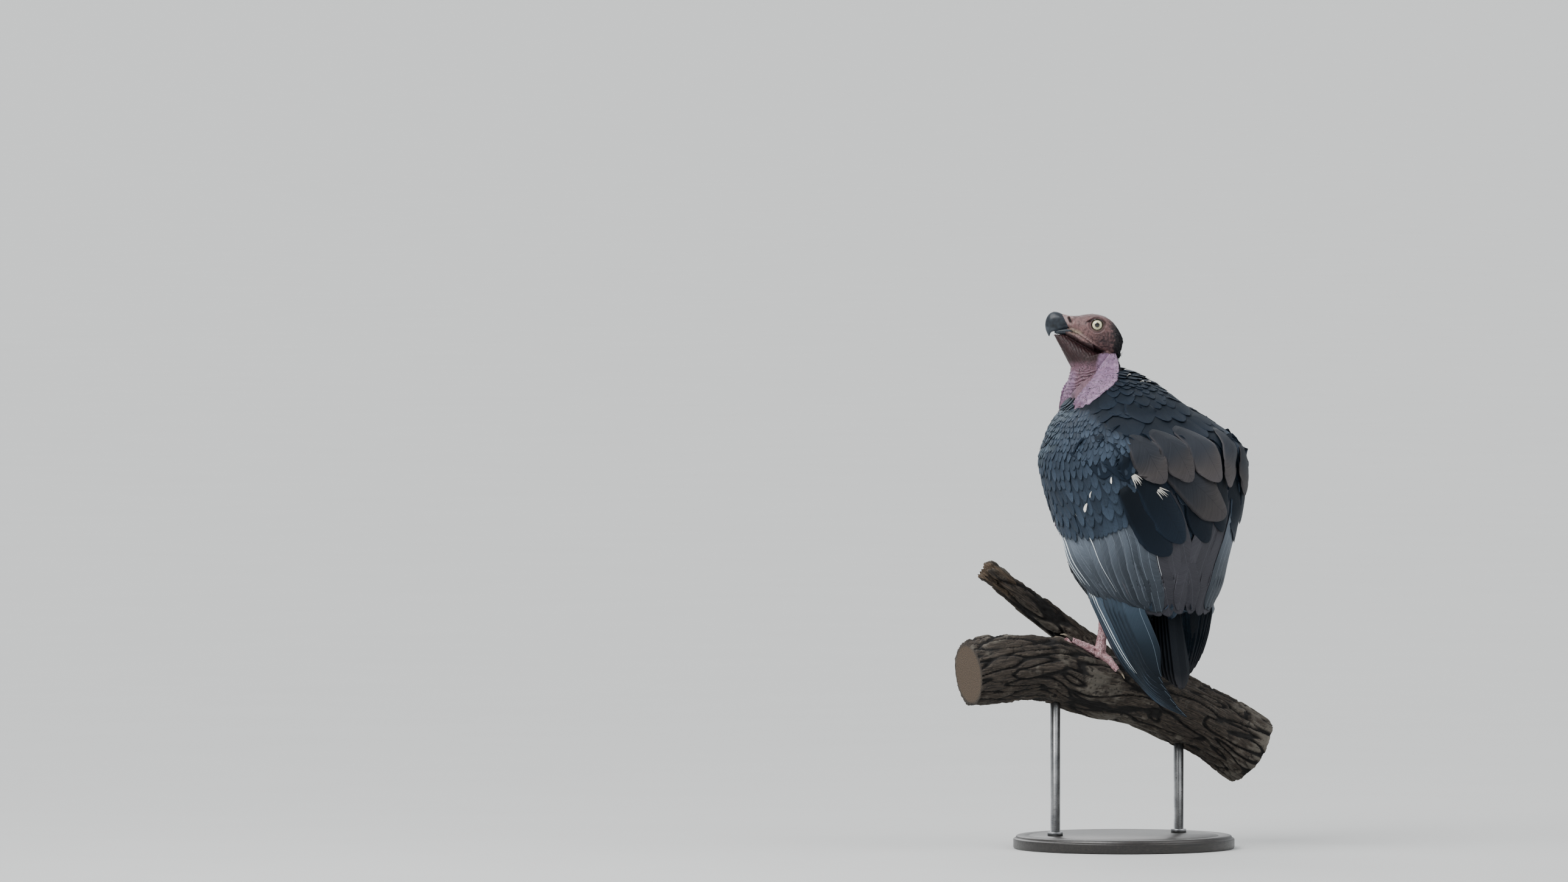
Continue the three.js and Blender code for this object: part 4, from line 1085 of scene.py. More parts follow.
def vanes(name, finish, slot, lines, normals, widths, profile, tones=1.0, crown=0.12, thick=0.7, columns=5,
          ragged=0.03, lop=0.0, tilt=0.0, round_tip=0.8, frayed=0.0):
    """One mesh of closed vanes. lines and normals are (feathers, stations, 3). lop makes the web on
    the right of the shaft the wider one, and tilt raises the right edge."""
    n, k = lines.shape[:2]
    rng = np.random.default_rng(SEED + sum(name.encode()))
    seeds = rng.random(n)
    t = arc_share(lines)
    ahead = unit(np.gradient(lines, axis=1))
    beside = unit(np.cross(ahead, normals))
    over = np.cross(beside, ahead)
    tilt = column(tilt)[..., None]
    beside, over = unit(beside + over * tilt), unit(over - beside * tilt)
    half = column(widths) * profile(t)[..., 0]
    half = half * (1 + ragged * rng.standard_normal((n, k)) * smooth(t, 0.1, 0.4))
    half = np.maximum(half, 0.1)
    across = np.linspace(-1, 1, columns)
    across = np.sign(across) * np.abs(across) ** 0.8
    length = np.linalg.norm(np.diff(lines, axis=1), axis=2).sum(1)
    top = np.empty((n, k, columns, 3))
    reach = np.empty((n, k, columns))
    for c, a in enumerate(across):
        web = half * (1 + np.sign(a) * column(lop))
        # The outer barbs of the tip end short of the shaft's, which rounds it, and some fray.
        lag = round_tip * a * a * half * smooth(t, 0.45, 1.0)
        lag = np.minimum(lag, 0.3 * length[:, None])
        if frayed:
            lag += frayed * rng.random((n, 1)) ** 2 * rng.random((n, k)) * abs(a) * smooth(t, 0.7, 1.0)
        rise = -crown * half * a * a + 0.5 * thick * (1 - abs(a)) * (1 - 0.5 * t)
        reach[:, :, c] = a * web
        outwards = beside * reach[:, :, c, None]
        top[:, :, c] = lines + outwards + over * rise[..., None] - ahead * lag[..., None]
    under = lines - over * (0.5 * thick * (1 - 0.4 * t) + crown * 0.25 * half)[..., None]
    rings = np.concatenate([top, under[:, :, None]], axis=2)
    ring = columns + 1
    points = rings.reshape(-1, 3)

    i, j = np.meshgrid(np.arange(k - 1), np.arange(ring), indexing="ij")
    a = i * ring + j
    b = i * ring + (j + 1) % ring
    quads = np.stack([a, b, b + ring, a + ring], -1).reshape(-1, 4)
    starts = np.arange(n) * k * ring
    quads = (quads[None] + starts[:, None, None]).reshape(-1, 4)
    first = starts[:, None] + np.arange(ring)[None, ::-1]
    last = starts[:, None] + (k - 1) * ring + np.arange(ring)[None]
    caps = np.concatenate([first, last])

    mesh = bpy.data.meshes.new(name)
    mesh.vertices.add(len(points))
    mesh.vertices.foreach_set("co", (points * MM + HOME).astype(np.float32).ravel())
    mesh.loops.add(len(quads) * 4 + caps.size)
    mesh.loops.foreach_set("vertex_index", np.concatenate([quads.ravel(), caps.ravel()]).astype(np.int32))
    mesh.polygons.add(len(quads) + len(caps))
    mesh.polygons.foreach_set("loop_start", np.concatenate(
        [np.arange(len(quads)) * 4, len(quads) * 4 + np.arange(len(caps)) * ring]).astype(np.int32))
    mesh.update(calc_edges=True)
    made = dressed(linked(name, mesh), finish)

    shape = (n, k, ring)
    share_across = np.broadcast_to(np.append(across, 0.0)[None, None], shape)
    share_along = np.broadcast_to(t[..., None], shape)
    tone = np.broadcast_to(column(tones)[..., None], shape)
    own = np.broadcast_to(seeds[:, None, None], shape)
    across_mm = np.concatenate([reach, np.zeros((n, k, 1))], axis=2)
    along_mm = share_along * length[:, None, None]
    stored(made, "reach", np.stack([share_across, share_along, tone], -1))
    stored(made, "vane", np.stack([across_mm, along_mm, own], -1))

    root = unwrap(lines[:, 0])
    patch = root[:, None, None] + PATCH * np.stack([share_across, 2 * share_along - 1], -1)
    corner = np.empty(len(mesh.loops), np.int32)
    mesh.loops.foreach_get("vertex_index", corner)
    layer = mesh.uv_layers.new(name="OFBake")
    layer.data.foreach_set("uv", patch.reshape(-1, 2)[corner].astype(np.float32).ravel())
    return settled(made, slot)


# ---------------------------------------------------------------- the form that feathers lie on
# Swelled, joined and drawn back, so that it closes over the furrows between wing and back.
FURROW = 18.0
FORM_QUAD, SWOLLEN_QUAD = 5.0, 6.0
form_mesh = remeshed(joined("form", [copied(node) for node in FLESH_NODES]), FORM_QUAD, relax=6)
set_points(form_mesh, points_of(form_mesh) + normals_of(form_mesh) * FURROW)
form_mesh = remeshed(form_mesh, SWOLLEN_QUAD, relax=6)
set_points(form_mesh, points_of(form_mesh) - normals_of(form_mesh) * FURROW)


def back_shell(lift):
    """The folded bird's outline over back and flanks, closed by a chord in front."""
    angles = np.maximum(np.linspace(-90, 90, 41), 8)
    heights = np.linspace(430, 796, 40)[:, None]
    left = on_plumage(1, angles[None], heights, lift)
    right = on_plumage(-1, angles[None, ::-1], heights, lift)
    return mesh_object("back_shell", *loft(np.concatenate([left, right], axis=1)))


form_parts = [form_mesh, copied("neck"), back_shell(-5.0)]
form_mesh = remeshed(joined("form", form_parts), FORM_QUAD, relax=10)
form_points, form_faces, form = surface_of(form_mesh)
form_shades = [Vector(n) for n in normals_of(form_mesh)]
bpy.data.objects.remove(form_mesh)


def nearest(point):
    """The form's nearest point and its normal there, evened out over the face's corners."""
    spot, _, face, _ = form.find_nearest(point)
    return spot, sum((form_shades[i] for i in form_faces[face]), Vector((0, 0, 0))).normalized()


def laid(roots, aims, lengths, stations=7, low=-5.0, high=1.0, arch=0.0):
    """Lines and normals of feathers laid along the form from their roots, rising to their tips."""
    n = len(roots)
    lines, normals = np.empty((n, stations, 3)), np.empty((n, stations, 3))
    shares = stations_along(stations)
    for i in range(n):
        spot, normal = nearest(Vector(roots[i]))
        aim = Vector(aims[i])
        for s in range(stations):
            lines[i, s], normals[i, s] = spot, normal
            if s + 1 < stations:
                aim = (aim - normal * aim.dot(normal)).normalized()
                spot, normal = nearest(spot + aim * float(lengths[i] * (shares[s + 1] - shares[s])))
    t = shares[None, :, None]
    low, high = column(low)[..., None], column(high)[..., None]
    return lines + normals * (low + (high - low) * t ** 0.8 + arch * np.sin(np.pi * t)), normals


def about(points):
    """Each point's side, angle round the folded bird's outline, and height."""
    half, front, back, middle = plumage(points[:, 2]).T
    forth = points[:, 1] - middle
    s = forth / np.where(forth < 0, front, back)
    c = np.abs(points[:, 0]) / half
    angle = np.degrees(np.arctan2(power(s, SQUARENESS / 2), power(c, SQUARENESS / 2)))
    return np.sign(points[:, 0]), angle, points[:, 2]


NECK_FOOT = np.array([14.0, -30.0, 850.0])


def lie(points):
    """Which way feathers point: out from the neck's foot, down the body and in to the tail."""
    down = np.tile([0.0, 0.16, -1.0], (len(points), 1))
    tail = unit(np.array([0.0, 165.0, 150.0]) - points)
    out = unit(points - NECK_FOOT)
    low = smooth(-points[:, 2], -620, -480)[:, None]
    high = smooth(points[:, 2], 660, 800)[:, None]
    return unit(blend(blend(down, tail, low), out * 0.9 + down * 0.7, high))


def scattered(keep, across, along, tries, seed):
    """Roots spread evenly over the part of the form that keep() takes, closer across than along."""
    rng = np.random.default_rng(SEED + seed)
    corners = form_points[form_faces]
    corners = corners[keep(corners.mean(1))]
    size = np.linalg.norm(np.cross(corners[:, 1] - corners[:, 0], corners[:, 2] - corners[:, 0]), axis=1)
    pick = rng.choice(len(corners), tries, p=size / size.sum())
    u, v = rng.random((2, tries, 1))
    flip = u + v > 1
    u, v = np.where(flip, 1 - u, u), np.where(flip, 1 - v, v)
    a, b, c = np.moveaxis(corners[pick], 1, 0)
    spots = a + (b - a) * u + (c - a) * v
    ways = lie(spots)
    gap_across = np.broadcast_to(across(spots) if callable(across) else across, tries)
    gap_along = np.broadcast_to(along(spots) if callable(along) else along, tries)
    kept = np.empty((tries, 3))
    count = 0
    chosen = []
    for i in range(tries):
        apart = kept[:count] - spots[i]
        forth = apart @ ways[i]
        side = (apart * apart).sum(1) - forth * forth
        if count == 0 or (forth ** 2 / gap_along[i] ** 2 + side / gap_across[i] ** 2).min() > 1:
            kept[count] = spots[i]
            count += 1
            chosen.append(i)
    return spots[chosen], ways[chosen], gap_across[chosen], gap_along[chosen]


def spread_tract(name, finish, keep, across, along, tries, seed, slot="plumage", overlap=2.6, breadth=1.25,
                 profile=BROAD, stations=7, low=-5.5, high=0.5, sway=0.12, tone=1.0, set_back=0.35, **shape):
    """A tract of feathers spread over the form and laid along it."""
    roots, ways, gap_across, gap_along = scattered(keep, across, along, tries, seed)
    rng = np.random.default_rng(SEED + 7 * seed)
    n = len(roots)
    low, high = (lift(roots) if callable(lift) else lift for lift in (low, high))
    ways = ways + rng.standard_normal((n, 3)) * sway
    lengths = gap_along * overlap * rng.uniform(0.9, 1.12, n)
    # Roots are set back, so that the visible ends keep to the tract.
    lines, normals = laid(roots - ways * lengths[:, None] * set_back, ways, lengths, stations,
                          low, high + rng.uniform(-0.6, 0.6, n))
    widths = gap_across * breadth * rng.uniform(0.9, 1.1, n)
    return vanes(name, finish, slot, lines, normals, widths, profile, tones=np.full(n, tone), **shape)


# ---------------------------------------------------------------- folded wings
ARM_HIND, QUILLS_HIND = 56.0, 82.0
COVERT_EDGE = 570.0
WING_TIPS = {1: (15, 200, 242), -1: (-42, 128, 298)}
WING_EDGES = {
    1: ([(75, 75, 353), (50, 107, 302), (35, 153, 267)], [(62, 174, 377), (48, 172, 322), (30, 178, 292)]),
    -1: ([(-88, 62, 385), (-66, 88, 330)], [(-68, 160, 385), (-54, 150, 330)]),
}


COVERT_LEAN = 0.03
COVERTS_TOP = 236.0


def leading_angle(height):
    return blend(-28.0, -50.0, smooth(height, 461, 720))


def covert_edge(angle):
    """The greater coverts' lower edge, which sags over the flank."""
    s = np.clip((angle + 40) / 96, 0, 1.25)
    return COVERT_EDGE + 7 - 17 * np.sin(np.pi * np.minimum(1, s * 1.15)) + 20 * s**4


def edge_angle(s, hind):
    return blend(leading_angle(COVERT_EDGE), hind, s)


def secondary_end(s):
    return blend(463.0, 426.0, s)


def crest(s):
    return 793 - 50 * smooth(s, 0.4, 1)


def on_wing(side, s, height, hind, lift=0.0):
    return on_plumage(side, blend(leading_angle(height), hind, s), height, lift)


def wing_lines(side, roots, tips, lifts, hind, stations=9, bend=0.0):
    """Feather lines on the folded wing between (s, height) places of roots and tips."""
    (s0, h0), (s1, h1), (low, high) = (tuple(column(v) for v in pair) for pair in (roots, tips, lifts))
    t = stations_along(stations)[None]
    s = blend(s0, s1, t) + bend * np.sin(np.pi * t)
    height = blend(h0, h1, t)
    lift = blend(low, high, t ** 0.8)
    lines = on_wing(side, s, height, hind, lift)
    beside = on_wing(side, s + 0.01, height, hind, lift) - lines
    below = on_wing(side, s, height - 2, hind, lift) - lines
    return lines, unit(np.cross(below, beside)) * side


def covert_rows(side, rows, hind, seed):
    """Staggered rows of coverts. A row is its tips' height above the coverts' edge, gap, length and
    half width; a covert is the place of its root, of its tip, and its half width."""
    rng = np.random.default_rng(SEED + seed)
    made = []
    for index, (above, gap, length, half) in enumerate(rows):
        dense = np.linspace(0.0, 1.0, 200)
        height = covert_edge(edge_angle(dense, hind)) + above
        run = run_of(on_wing(side, dense, height, hind))
        places = np.arange((index % 2) * gap / 2 + gap * 0.25, run[-1], gap)
        places = places + rng.uniform(-0.16, 0.16, len(places)) * gap
        s = np.interp(places, run, dense)
        s = s[np.interp(s, dense, height) < crest(s) - 2]
        tip = np.interp(s, dense, height) + rng.uniform(-0.14, 0.14, len(s)) * length * 0.5
        root = np.minimum(tip + length, crest(s) + 12)
        made.append(np.column_stack([s - COVERT_LEAN, root, s, tip, half * rng.uniform(0.92, 1.1, len(s))]))
    return np.vstack(made).T


def make_coverts(side):
    name = SIDES[side]
    rng = np.random.default_rng(SEED + 40 + side)

    # Greater coverts: one row over the flight feathers' bases, with rounded ends at the edge.
    count = 21
    s = (np.arange(count) + 0.5) / count * 1.06 - 0.02
    tip = covert_edge(edge_angle(s, ARM_HIND)) + rng.uniform(-4, 4, count)
    lifts = (np.full(count, -5.5), np.full(count, -0.8))
    lines, normals = wing_lines(side, (s - 0.05, tip + 92), (s, tip), lifts, ARM_HIND, 11)
    vanes(f"greater_coverts_{name}", COVERT, "plumage", lines, normals, 13.5 + 5 * s, NARROW,
          tones=rng.uniform(0.85, 1.1, count), columns=7, tilt=-0.07 * side, crown=0.16, frayed=5)

    # Median and lesser coverts: rows of narrow upright feathers, ever smaller towards the wrist.
    rows = [(19, 20.0, 84, 15.0), (42, 18.0, 76, 13.5)]
    above, gap, length, half = 65.0, 16.0, 66.0, 12.0
    while above < COVERTS_TOP:
        rows.append((above, gap, length, half))
        above += length * 0.34
        gap = max(gap * 0.92, 7.5)
        length = max(length * 0.9, 26)
        half = max(half * 0.91, 5.4)
    s0, h0, s1, h1, half = covert_rows(side, rows, ARM_HIND, 60 + side)
    n = len(s0)
    lifts = (np.full(n, -4.5), rng.uniform(0.0, 1.3, n))
    lines, normals = wing_lines(side, (s0, h0), (s1, h1), lifts, ARM_HIND, 9)
    # Greyer ones cover the wrist, and fade into the rest.
    wrist = smooth(h1, 672, 745) * (1 - smooth(s1 + 0.05 * np.sin(0.2 * h1), 0.16, 0.46))
    grey = wrist > 0.12
    level = np.where(grey, blend(0.72, 1.0, wrist), 1.0)
    for part, chosen, finish in (("lesser_coverts", ~grey, COVERT), ("wrist_coverts", grey, WRIST)):
        tones = rng.uniform(0.86, 1.12, n) * level
        tilt = rng.uniform(-0.05, 0.12, n) * -side
        vanes(f"{part}_{name}", finish, "plumage", lines[chosen], normals[chosen], half[chosen], NARROW,
              tones=tones[chosen], columns=7, crown=0.24, tilt=tilt[chosen], frayed=3)


def make_flight(side):
    """Secondaries and tertials: the inner ones lie over the outer, under the greater coverts."""
    name = SIDES[side]
    rng = np.random.default_rng(SEED + 80 + side)
    count = 14
    inward = np.arange(count) / (count - 1)
    s = 0.02 + 0.8 * inward ** 0.95
    end = secondary_end(s) + rng.uniform(-4, 3, count)
    top = covert_edge(edge_angle(s, QUILLS_HIND)) + 52
    lift = blend(-5.5, -1.5, inward)
    lines, normals = wing_lines(side, (s - 0.06, top), (s + 0.045, end), (lift - 1.0, lift), QUILLS_HIND, 22)
    # Painted sky light: tones run from light on the outer secondaries to darker on the inner ones.
    tones = rng.uniform(0.88, 1.08, count) * blend(1.5, 0.72, smooth(s, 0.0, 0.6))
    vanes(f"secondaries_{name}", SECONDARY, "flight_feathers", lines, normals, np.full(count, 21.0), QUILL,
          tones=tones, columns=11, lop=0.34 * side, tilt=-0.075 * side, crown=0.07, thick=1.0, frayed=6,
          ragged=0.01)
    bare = [0, 1, 2, 6]
    shafts(f"secondary_shafts_{name}", lines[bare], normals[bare], 1.5, (0.0, 0.86), 1.7)

    s = np.array([0.74, 0.83, 0.93, 1.03, 1.1])
    end = np.array([428.0, 425, 424, 428, 434])
    half = np.array([27.0, 28, 29, 28, 24])
    count = len(s)
    lift = blend(-3.6, -0.8, np.arange(count) / (count - 1))
    lines, normals = wing_lines(side, (s - 0.15, np.full(count, 650.0)), (s + 0.02, end), (lift - 3.0, lift),
                                QUILLS_HIND, 22, bend=0.012)
    vanes(f"tertials_{name}", TERTIAL, "flight_feathers", lines, normals, half, QUILL,
          tones=rng.uniform(0.9, 1.12, count), columns=11, lop=0.2 * side, tilt=-0.07 * side, crown=0.08,
          thick=1.0, frayed=6, ragged=0.01)
    bare = [2] if side > 0 else [1]
    shafts(f"tertial_shafts_{name}", lines[bare], normals[bare], 0.9, (0.35, 0.78), 0.55)


def shafts(name, lines, normals, wide, shares, above):
    """Raised ivory shafts over the middle of large feathers, between two shares of their length."""
    t = np.linspace(*shares, 14)
    stacks = (lines + normals * above, normals)
    cut, over = (np.array([through_shares(line, t) for line in stack]) for stack in stacks)
    return vanes(name, SHAFT, "flight_feathers", cut, unit(over), np.full(len(lines), wide), SHAFT_TAPER,
                 columns=3, crown=0.9, thick=wide * 1.1, ragged=0, round_tip=0)


def through_shares(line, shares):
    """The points of a line at shares of its length."""
    run = run_of(line)
    return np.column_stack([np.interp(shares, run / run[-1], line[:, i]) for i in range(3)])


def primary_sheet(side):
    """The folded primaries' sheet: a function of s, across it, and t, from the secondaries to the tip."""
    tip = WING_TIPS[side]
    leading, trailing = WING_EDGES[side]

    def start(s, above=0.0, lift=0.0):
        height = secondary_end(s * 0.7) - 9 + above
        return on_plumage(side, blend(leading_angle(height), 51.0, s), height, lift)

    fore = table(np.column_stack([np.linspace(0, 1, len(leading) + 2), [start(0.0), *leading, tip]]))
    hind = table(np.column_stack([np.linspace(0, 1, len(trailing) + 2), [start(1.0), *trailing, tip]]))

    def at(s, t):
        s, t = np.broadcast_arrays(np.asarray(s, float), np.asarray(t, float))
        down = np.clip(t, 0, 1)
        flat = blend(fore(down), hind(down), s[..., None])
        bulge = start(s) - blend(start(0.0), start(1.0), s[..., None])
        hidden = np.clip(-t, 0, 1)
        under = start(s, hidden * 260, -6.5 * smooth(hidden, 0, 0.08)) - start(s)
        return flat + bulge * ((1 - down) ** 1.3)[..., None] + under

    return at


def make_primaries(side):
    name = SIDES[side]
    sheet = primary_sheet(side)
    rng = np.random.default_rng(SEED + 100 + side)
    places = np.array([0.05, 0.11, 0.18, 0.27, 0.37, 0.47, 0.57, 0.67, 0.77, 0.87])
    ends = np.array([0.9, 0.965, 0.985, 0.975, 0.93, 0.86, 0.78, 0.69, 0.6, 0.52])
    count, stations = len(places), 30
    t = -0.3 + (ends[:, None] + 0.3) * stations_along(stations)[None]
    s = places[:, None] + 0.1 * smooth(t, 0, 1) * (1 - places[:, None])
    lines = sheet(s, t)
    beside = sheet(s + 0.02, t) - sheet(s - 0.02, t)
    ahead = np.gradient(lines, axis=1)
    normals = unit(np.cross(ahead, beside)) * side
    width = np.linalg.norm(sheet(1.0, t) - sheet(0.0, t), axis=-1)
    half = np.minimum(20.0, 0.2 * width + 3.0)
    # Inner primaries lie over the outer ones.
    lift = blend(-3.6, -0.4, np.arange(count) / (count - 1))[:, None, None]
    lines = lines + normals * lift * (1 - 0.45 * smooth(t, 0.4, 1.0))[..., None]

    def narrowing(along):
        return QUILL(along) * (half / half.max(1, keepdims=True))[..., None]

    tones = rng.uniform(0.93, 1.07, count) * blend(1.35, 0.6, smooth(places, 0.1, 0.5))
    vanes(f"primaries_{name}", PRIMARY, "flight_feathers", lines, normals, half.max(1), narrowing,
          tones=tones, columns=9, lop=0.5 * side, tilt=-0.05 * side, crown=0.06, thick=0.9, round_tip=1.1,
          ragged=0.005)
    shafts(f"primary_shafts_{name}", lines[:3], normals[:3], 1.4, (0.1, 0.66), 1.1)


for side in SIDES:
    make_flight(side)
    make_primaries(side)
    make_coverts(side)
for name in SIDES.values():
    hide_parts(f"wing_{name}_secondaries")
    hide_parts(f"wing_{name}_primaries")


# ---------------------------------------------------------------- tail
TAIL_ROOT, TAIL_END = 500.0, 291.0


def make_tail():
    """Twelve stiff feathers closed to a narrow roof: the middle pair lies on top and is longest."""
    x = np.array([-0.92, 0.92, -0.76, 0.76, -0.6, 0.6, -0.44, 0.44, -0.27, 0.27, -0.09, 0.09])
    order = np.arange(12) // 2
    end = TAIL_END + 34 * np.abs(x) ** 1.6
    height = blend(TAIL_ROOT, end[:, None], stations_along(18)[None])
    u = smooth(-height, -458, -291)
    across = x[:, None] * blend(20.0, 35.0, u)
    back = blend(143.0, 165.0, u) - 13 * x[:, None] ** 2 - 2.2 * (5 - order)[:, None]
    lines = np.stack([across, back, height], -1)
    upwards = unit(np.stack([0.25 * x, np.ones(12), np.full(12, 0.12)], -1))
    normals = np.broadcast_to(upwards[:, None], lines.shape)
    made = vanes("tail_feathers", RECTRIX, "flight_feathers", lines, normals, np.full(12, 15.0), QUILL,
                 columns=9, tilt=0.1 * np.sign(x), crown=0.08, thick=1.0, frayed=12, ragged=0.02)
    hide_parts("tail")


make_tail()


# ---------------------------------------------------------------- back, breast, thighs and neck
# Where feathers start behind the bare neck, as (height in the head's frame, forward) on each side.
BARE_LEFT = table([[-165, 50], [-144, 20], [-122, -8], [-97, -36], [-70, -39], [-52, -36]])
BARE_RIGHT = table([[-162, 56], [-146, 42], [-122, 18], [-100, -10], [-76, -30], [-54, -34]])
# The mantle's lower edge: the angle round the outline that it starts at, for each height.
MANTLE_EDGE = table([[690, 95], [706, 68], [724, 48], [742, 22], [760, -6], [776, -36], [790, -70]])


def feathered(points):
    """Where the neck is feathered, and everywhere below it."""
    forward, up, left = to_head(points).T
    edge = np.where(left > 0, BARE_LEFT(up)[..., 0], BARE_RIGHT(up)[..., 0])
    return (forward < edge + 1) | (up < -170)


def on_mantle(points):
    _, angle, height = about(points)
    return feathered(points) & (height < 900) & (angle > MANTLE_EDGE(height)[..., 0])


def on_wrist_top(points):
    """The wrist's upper edge, outside the neck's foot."""
    _, angle, height = about(points)
    clear = np.hypot(points[:, 0] - 22, points[:, 1] + 65) > 60
    return clear & (angle < -14) & (height > 774) & (height < 815)


def from_neck(points):
    return np.linalg.norm(points - NECK_FOOT, axis=1)


def mantle_gap(points):
    """Small scaly feathers round the neck's foot, broad ones over the shoulders and back."""
    return blend(9.0, 28.0, smooth(from_neck(points), 85, 175))


def mantle_root(points):
    """Roots dip under the skin beside the bare neck, where nothing else covers them."""
    return blend(-6.5, -1.5, smooth(from_neck(points), 70, 120))


def on_back(points):
    _, angle, height = about(points)
    return (angle > 44) & (height < 735) & (height > 425)


def on_breast(points):
    _, angle, height = about(points)
    arm = (angle > leading_angle(height) + 5) & (height > covert_edge(angle))
    front = angle < np.where(height > 740, 30, 46)
    return feathered(points) & (height < 800) & (height > 420) & front & ~arm


def breast_tips(points):
    """Tips lie flatter low down, so that the belly's outline stays slim."""
    return blend(-5.0, 0.5, smooth(points[:, 2], 560, 630))


VIEW_RIGHT = np.array([math.cos(CAMERA_AZIMUTH), math.sin(CAMERA_AZIMUTH), 0.0])
VIEW_BACK = np.array([math.sin(CAMERA_AZIMUTH), -math.cos(CAMERA_AZIMUTH), 0.0])


def seen(across, height):
    """The form's point under a spot of the three-quarter back view, across and up in mm."""
    spot_in_view = VIEW_RIGHT * across + np.array([0, 0, height])
    spot = form.ray_cast(Vector(spot_in_view + VIEW_BACK * 800), Vector(-VIEW_BACK))[0]
    if spot is None:
        spot, _ = nearest(Vector(spot_in_view + VIEW_BACK * 30))
    return np.array(spot)


# Large scapulars in the order that they lie, lowest first: root and tip across and up in the
# three-quarter back view, half width, lift of the tip and tone.
LONG_SCAPULARS = [
    (196, 690, 203, 556, 26, 1.5, 0.9), (218, 690, 223, 585, 18, 2.0, 0.8),
    (120, 690, 150, 560, 30, 0.5, 0.55), (0, 660, 86, 545, 31, 3.0, 0.85),
    (20, 704, 102, 563, 31, 6.0, 1.1), (170, 700, 178, 578, 26, 1.0, 0.6),
]
BROWN_SCAPULARS = [
    (60, 720, 178, 607, 35, 7.0, 0.85), (216, 756, 214, 637, 31, 5.0, 0.9),
    (168, 760, 184, 648, 25, 7.0, 1.2), (10, 752, 64, 659, 32, 7.0, 1.15),
    (50, 760, 112, 660, 33, 8.5, 0.95), (92, 765, 160, 657, 34, 10.0, 1.15),
]


def placed_feathers(name, finish, rows, profile=BROAD):
    """Large feathers placed one by one, each between two spots of the three-quarter back view."""
    ends = np.array([(seen(a, b), seen(c, d)) for a, b, c, d, *_ in rows])
    roots, tips = ends[:, 0], ends[:, 1]
    half, lift, tone = np.array(rows, float)[:, 4:].T
    lengths = np.linalg.norm(tips - roots, axis=1) * 1.03
    lines, normals = laid(roots, tips - roots, lengths, 18, low=1.0, high=lift + 4.0, arch=2.0)
    return vanes(name, finish, "plumage", lines, normals, half, profile, tones=tone, columns=11, crown=0.17,
                 thick=0.9, lop=0.12, ragged=0.012, round_tip=0.75, frayed=3)


# White down at the scapulars' bases: root and tip of the middle wisp of each tuft. Flecks of white
# on the back: root, tip and half width.
WHITE_TUFTS = [(16, 682, 24, 666), (55, 660, 71, 645)]
WHITE_FLECKS = [
    (-65, 630, -64, 616, 3.4), (-22, 678, -21, 667, 1.6), (9, 853, 13, 850, 2.2), (32, 842, 36, 838, 2.8),
    (44, 842, 48, 837, 2.6), (-57, 652, -56, 642, 1.2),
]


def wisp(tuft, number):
    """One of a tuft's wisps, fanned out from its middle."""
    a, b, c, d = tuft
    spread = 1.5 * number + 4 * math.sin(5 * number)
    return (a + 0.7 * number, b + 0.5 * number, c + 1.9 * number, d + spread, 1.3, 7.0, 0.55)


def make_back():
    spread_tract("back_feathers", COVERT, on_back, 18, 27, 2600, 11, breadth=1.1, low=-6.5, high=-1.0,
                 columns=7, stations=9, crown=0.15)
    placed_feathers("long_scapulars", MANTLE, LONG_SCAPULARS)
    placed_feathers("brown_scapulars", SCAPULAR, BROWN_SCAPULARS)
    placed_feathers("white_tufts", DOWN, [wisp(tuft, i) for tuft in WHITE_TUFTS for i in range(-3, 4)], WISP)
    placed_feathers("white_flecks", DOWN, [row + (4.5, 1.0) for row in WHITE_FLECKS])
    spread_tract("mantle", MANTLE, on_mantle, mantle_gap, mantle_gap, 12000, 12, breadth=1.3, overlap=3.3,
                 low=mantle_root, high=1.6, columns=9, stations=11, crown=0.1, thick=0.5, frayed=5, sway=0.13,
                 set_back=0.2)
    spread_tract("wrist_top", WRIST, on_wrist_top, 5.5, 7.0, 6000, 14, profile=NARROW, breadth=1.0,
                 overlap=3.2, low=-6.0, high=2.8, crown=0.2, frayed=3, set_back=0.15, tone=0.7)


def make_breast():
    spread_tract("breast", BREAST, on_breast, 11, 15, 9000, 13, profile=NARROW, breadth=1.15, low=-6.5,
                 high=breast_tips, sway=0.2, frayed=4)


make_back()
make_breast()


# ---------------------------------------------------------------- bristles, nape and down
HEAD_DOWNWARDS = unit(-HEAD_AXES[0] * 0.45 + np.array([0, 0, -1.0]))


def face_hairs(name, keep, count, seed, length, width, lean):
    """Fine bristles or down rooted in the skin, each a thin closed blade that bends down and back."""
    rng = np.random.default_rng(SEED + seed)
    points, shades = points_of(skin), normals_of(skin)
    chosen = np.flatnonzero(keep(points))
    chosen = rng.choice(chosen, min(count, len(chosen)), replace=False)
    roots, normal = points[chosen], shades[chosen]
    n = len(roots)
    way = HEAD_DOWNWARDS + rng.standard_normal((n, 3)) * 0.25
    way = unit(way - normal * (way * normal).sum(1, keepdims=True))
    size = length(roots) * rng.uniform(0.6, 1.3, n)
    t = np.linspace(0, 1, 4)[None, :, None]
    rise = normal[:, None] * (lean * t * (1.6 - t)) + way[:, None] * t * (0.6 + 0.4 * t)
    lines = roots[:, None] - normal[:, None] * 0.4 + rise * size[:, None, None]
    normals = np.broadcast_to(normal[:, None], lines.shape)
    widths = width * rng.uniform(0.7, 1.3, n)
    return vanes(name, BLACK_DOWN, "plumage", lines, normals, widths, WISP, columns=3, crown=0.3,
                 thick=width * 0.9, ragged=0.0, round_tip=0.0)


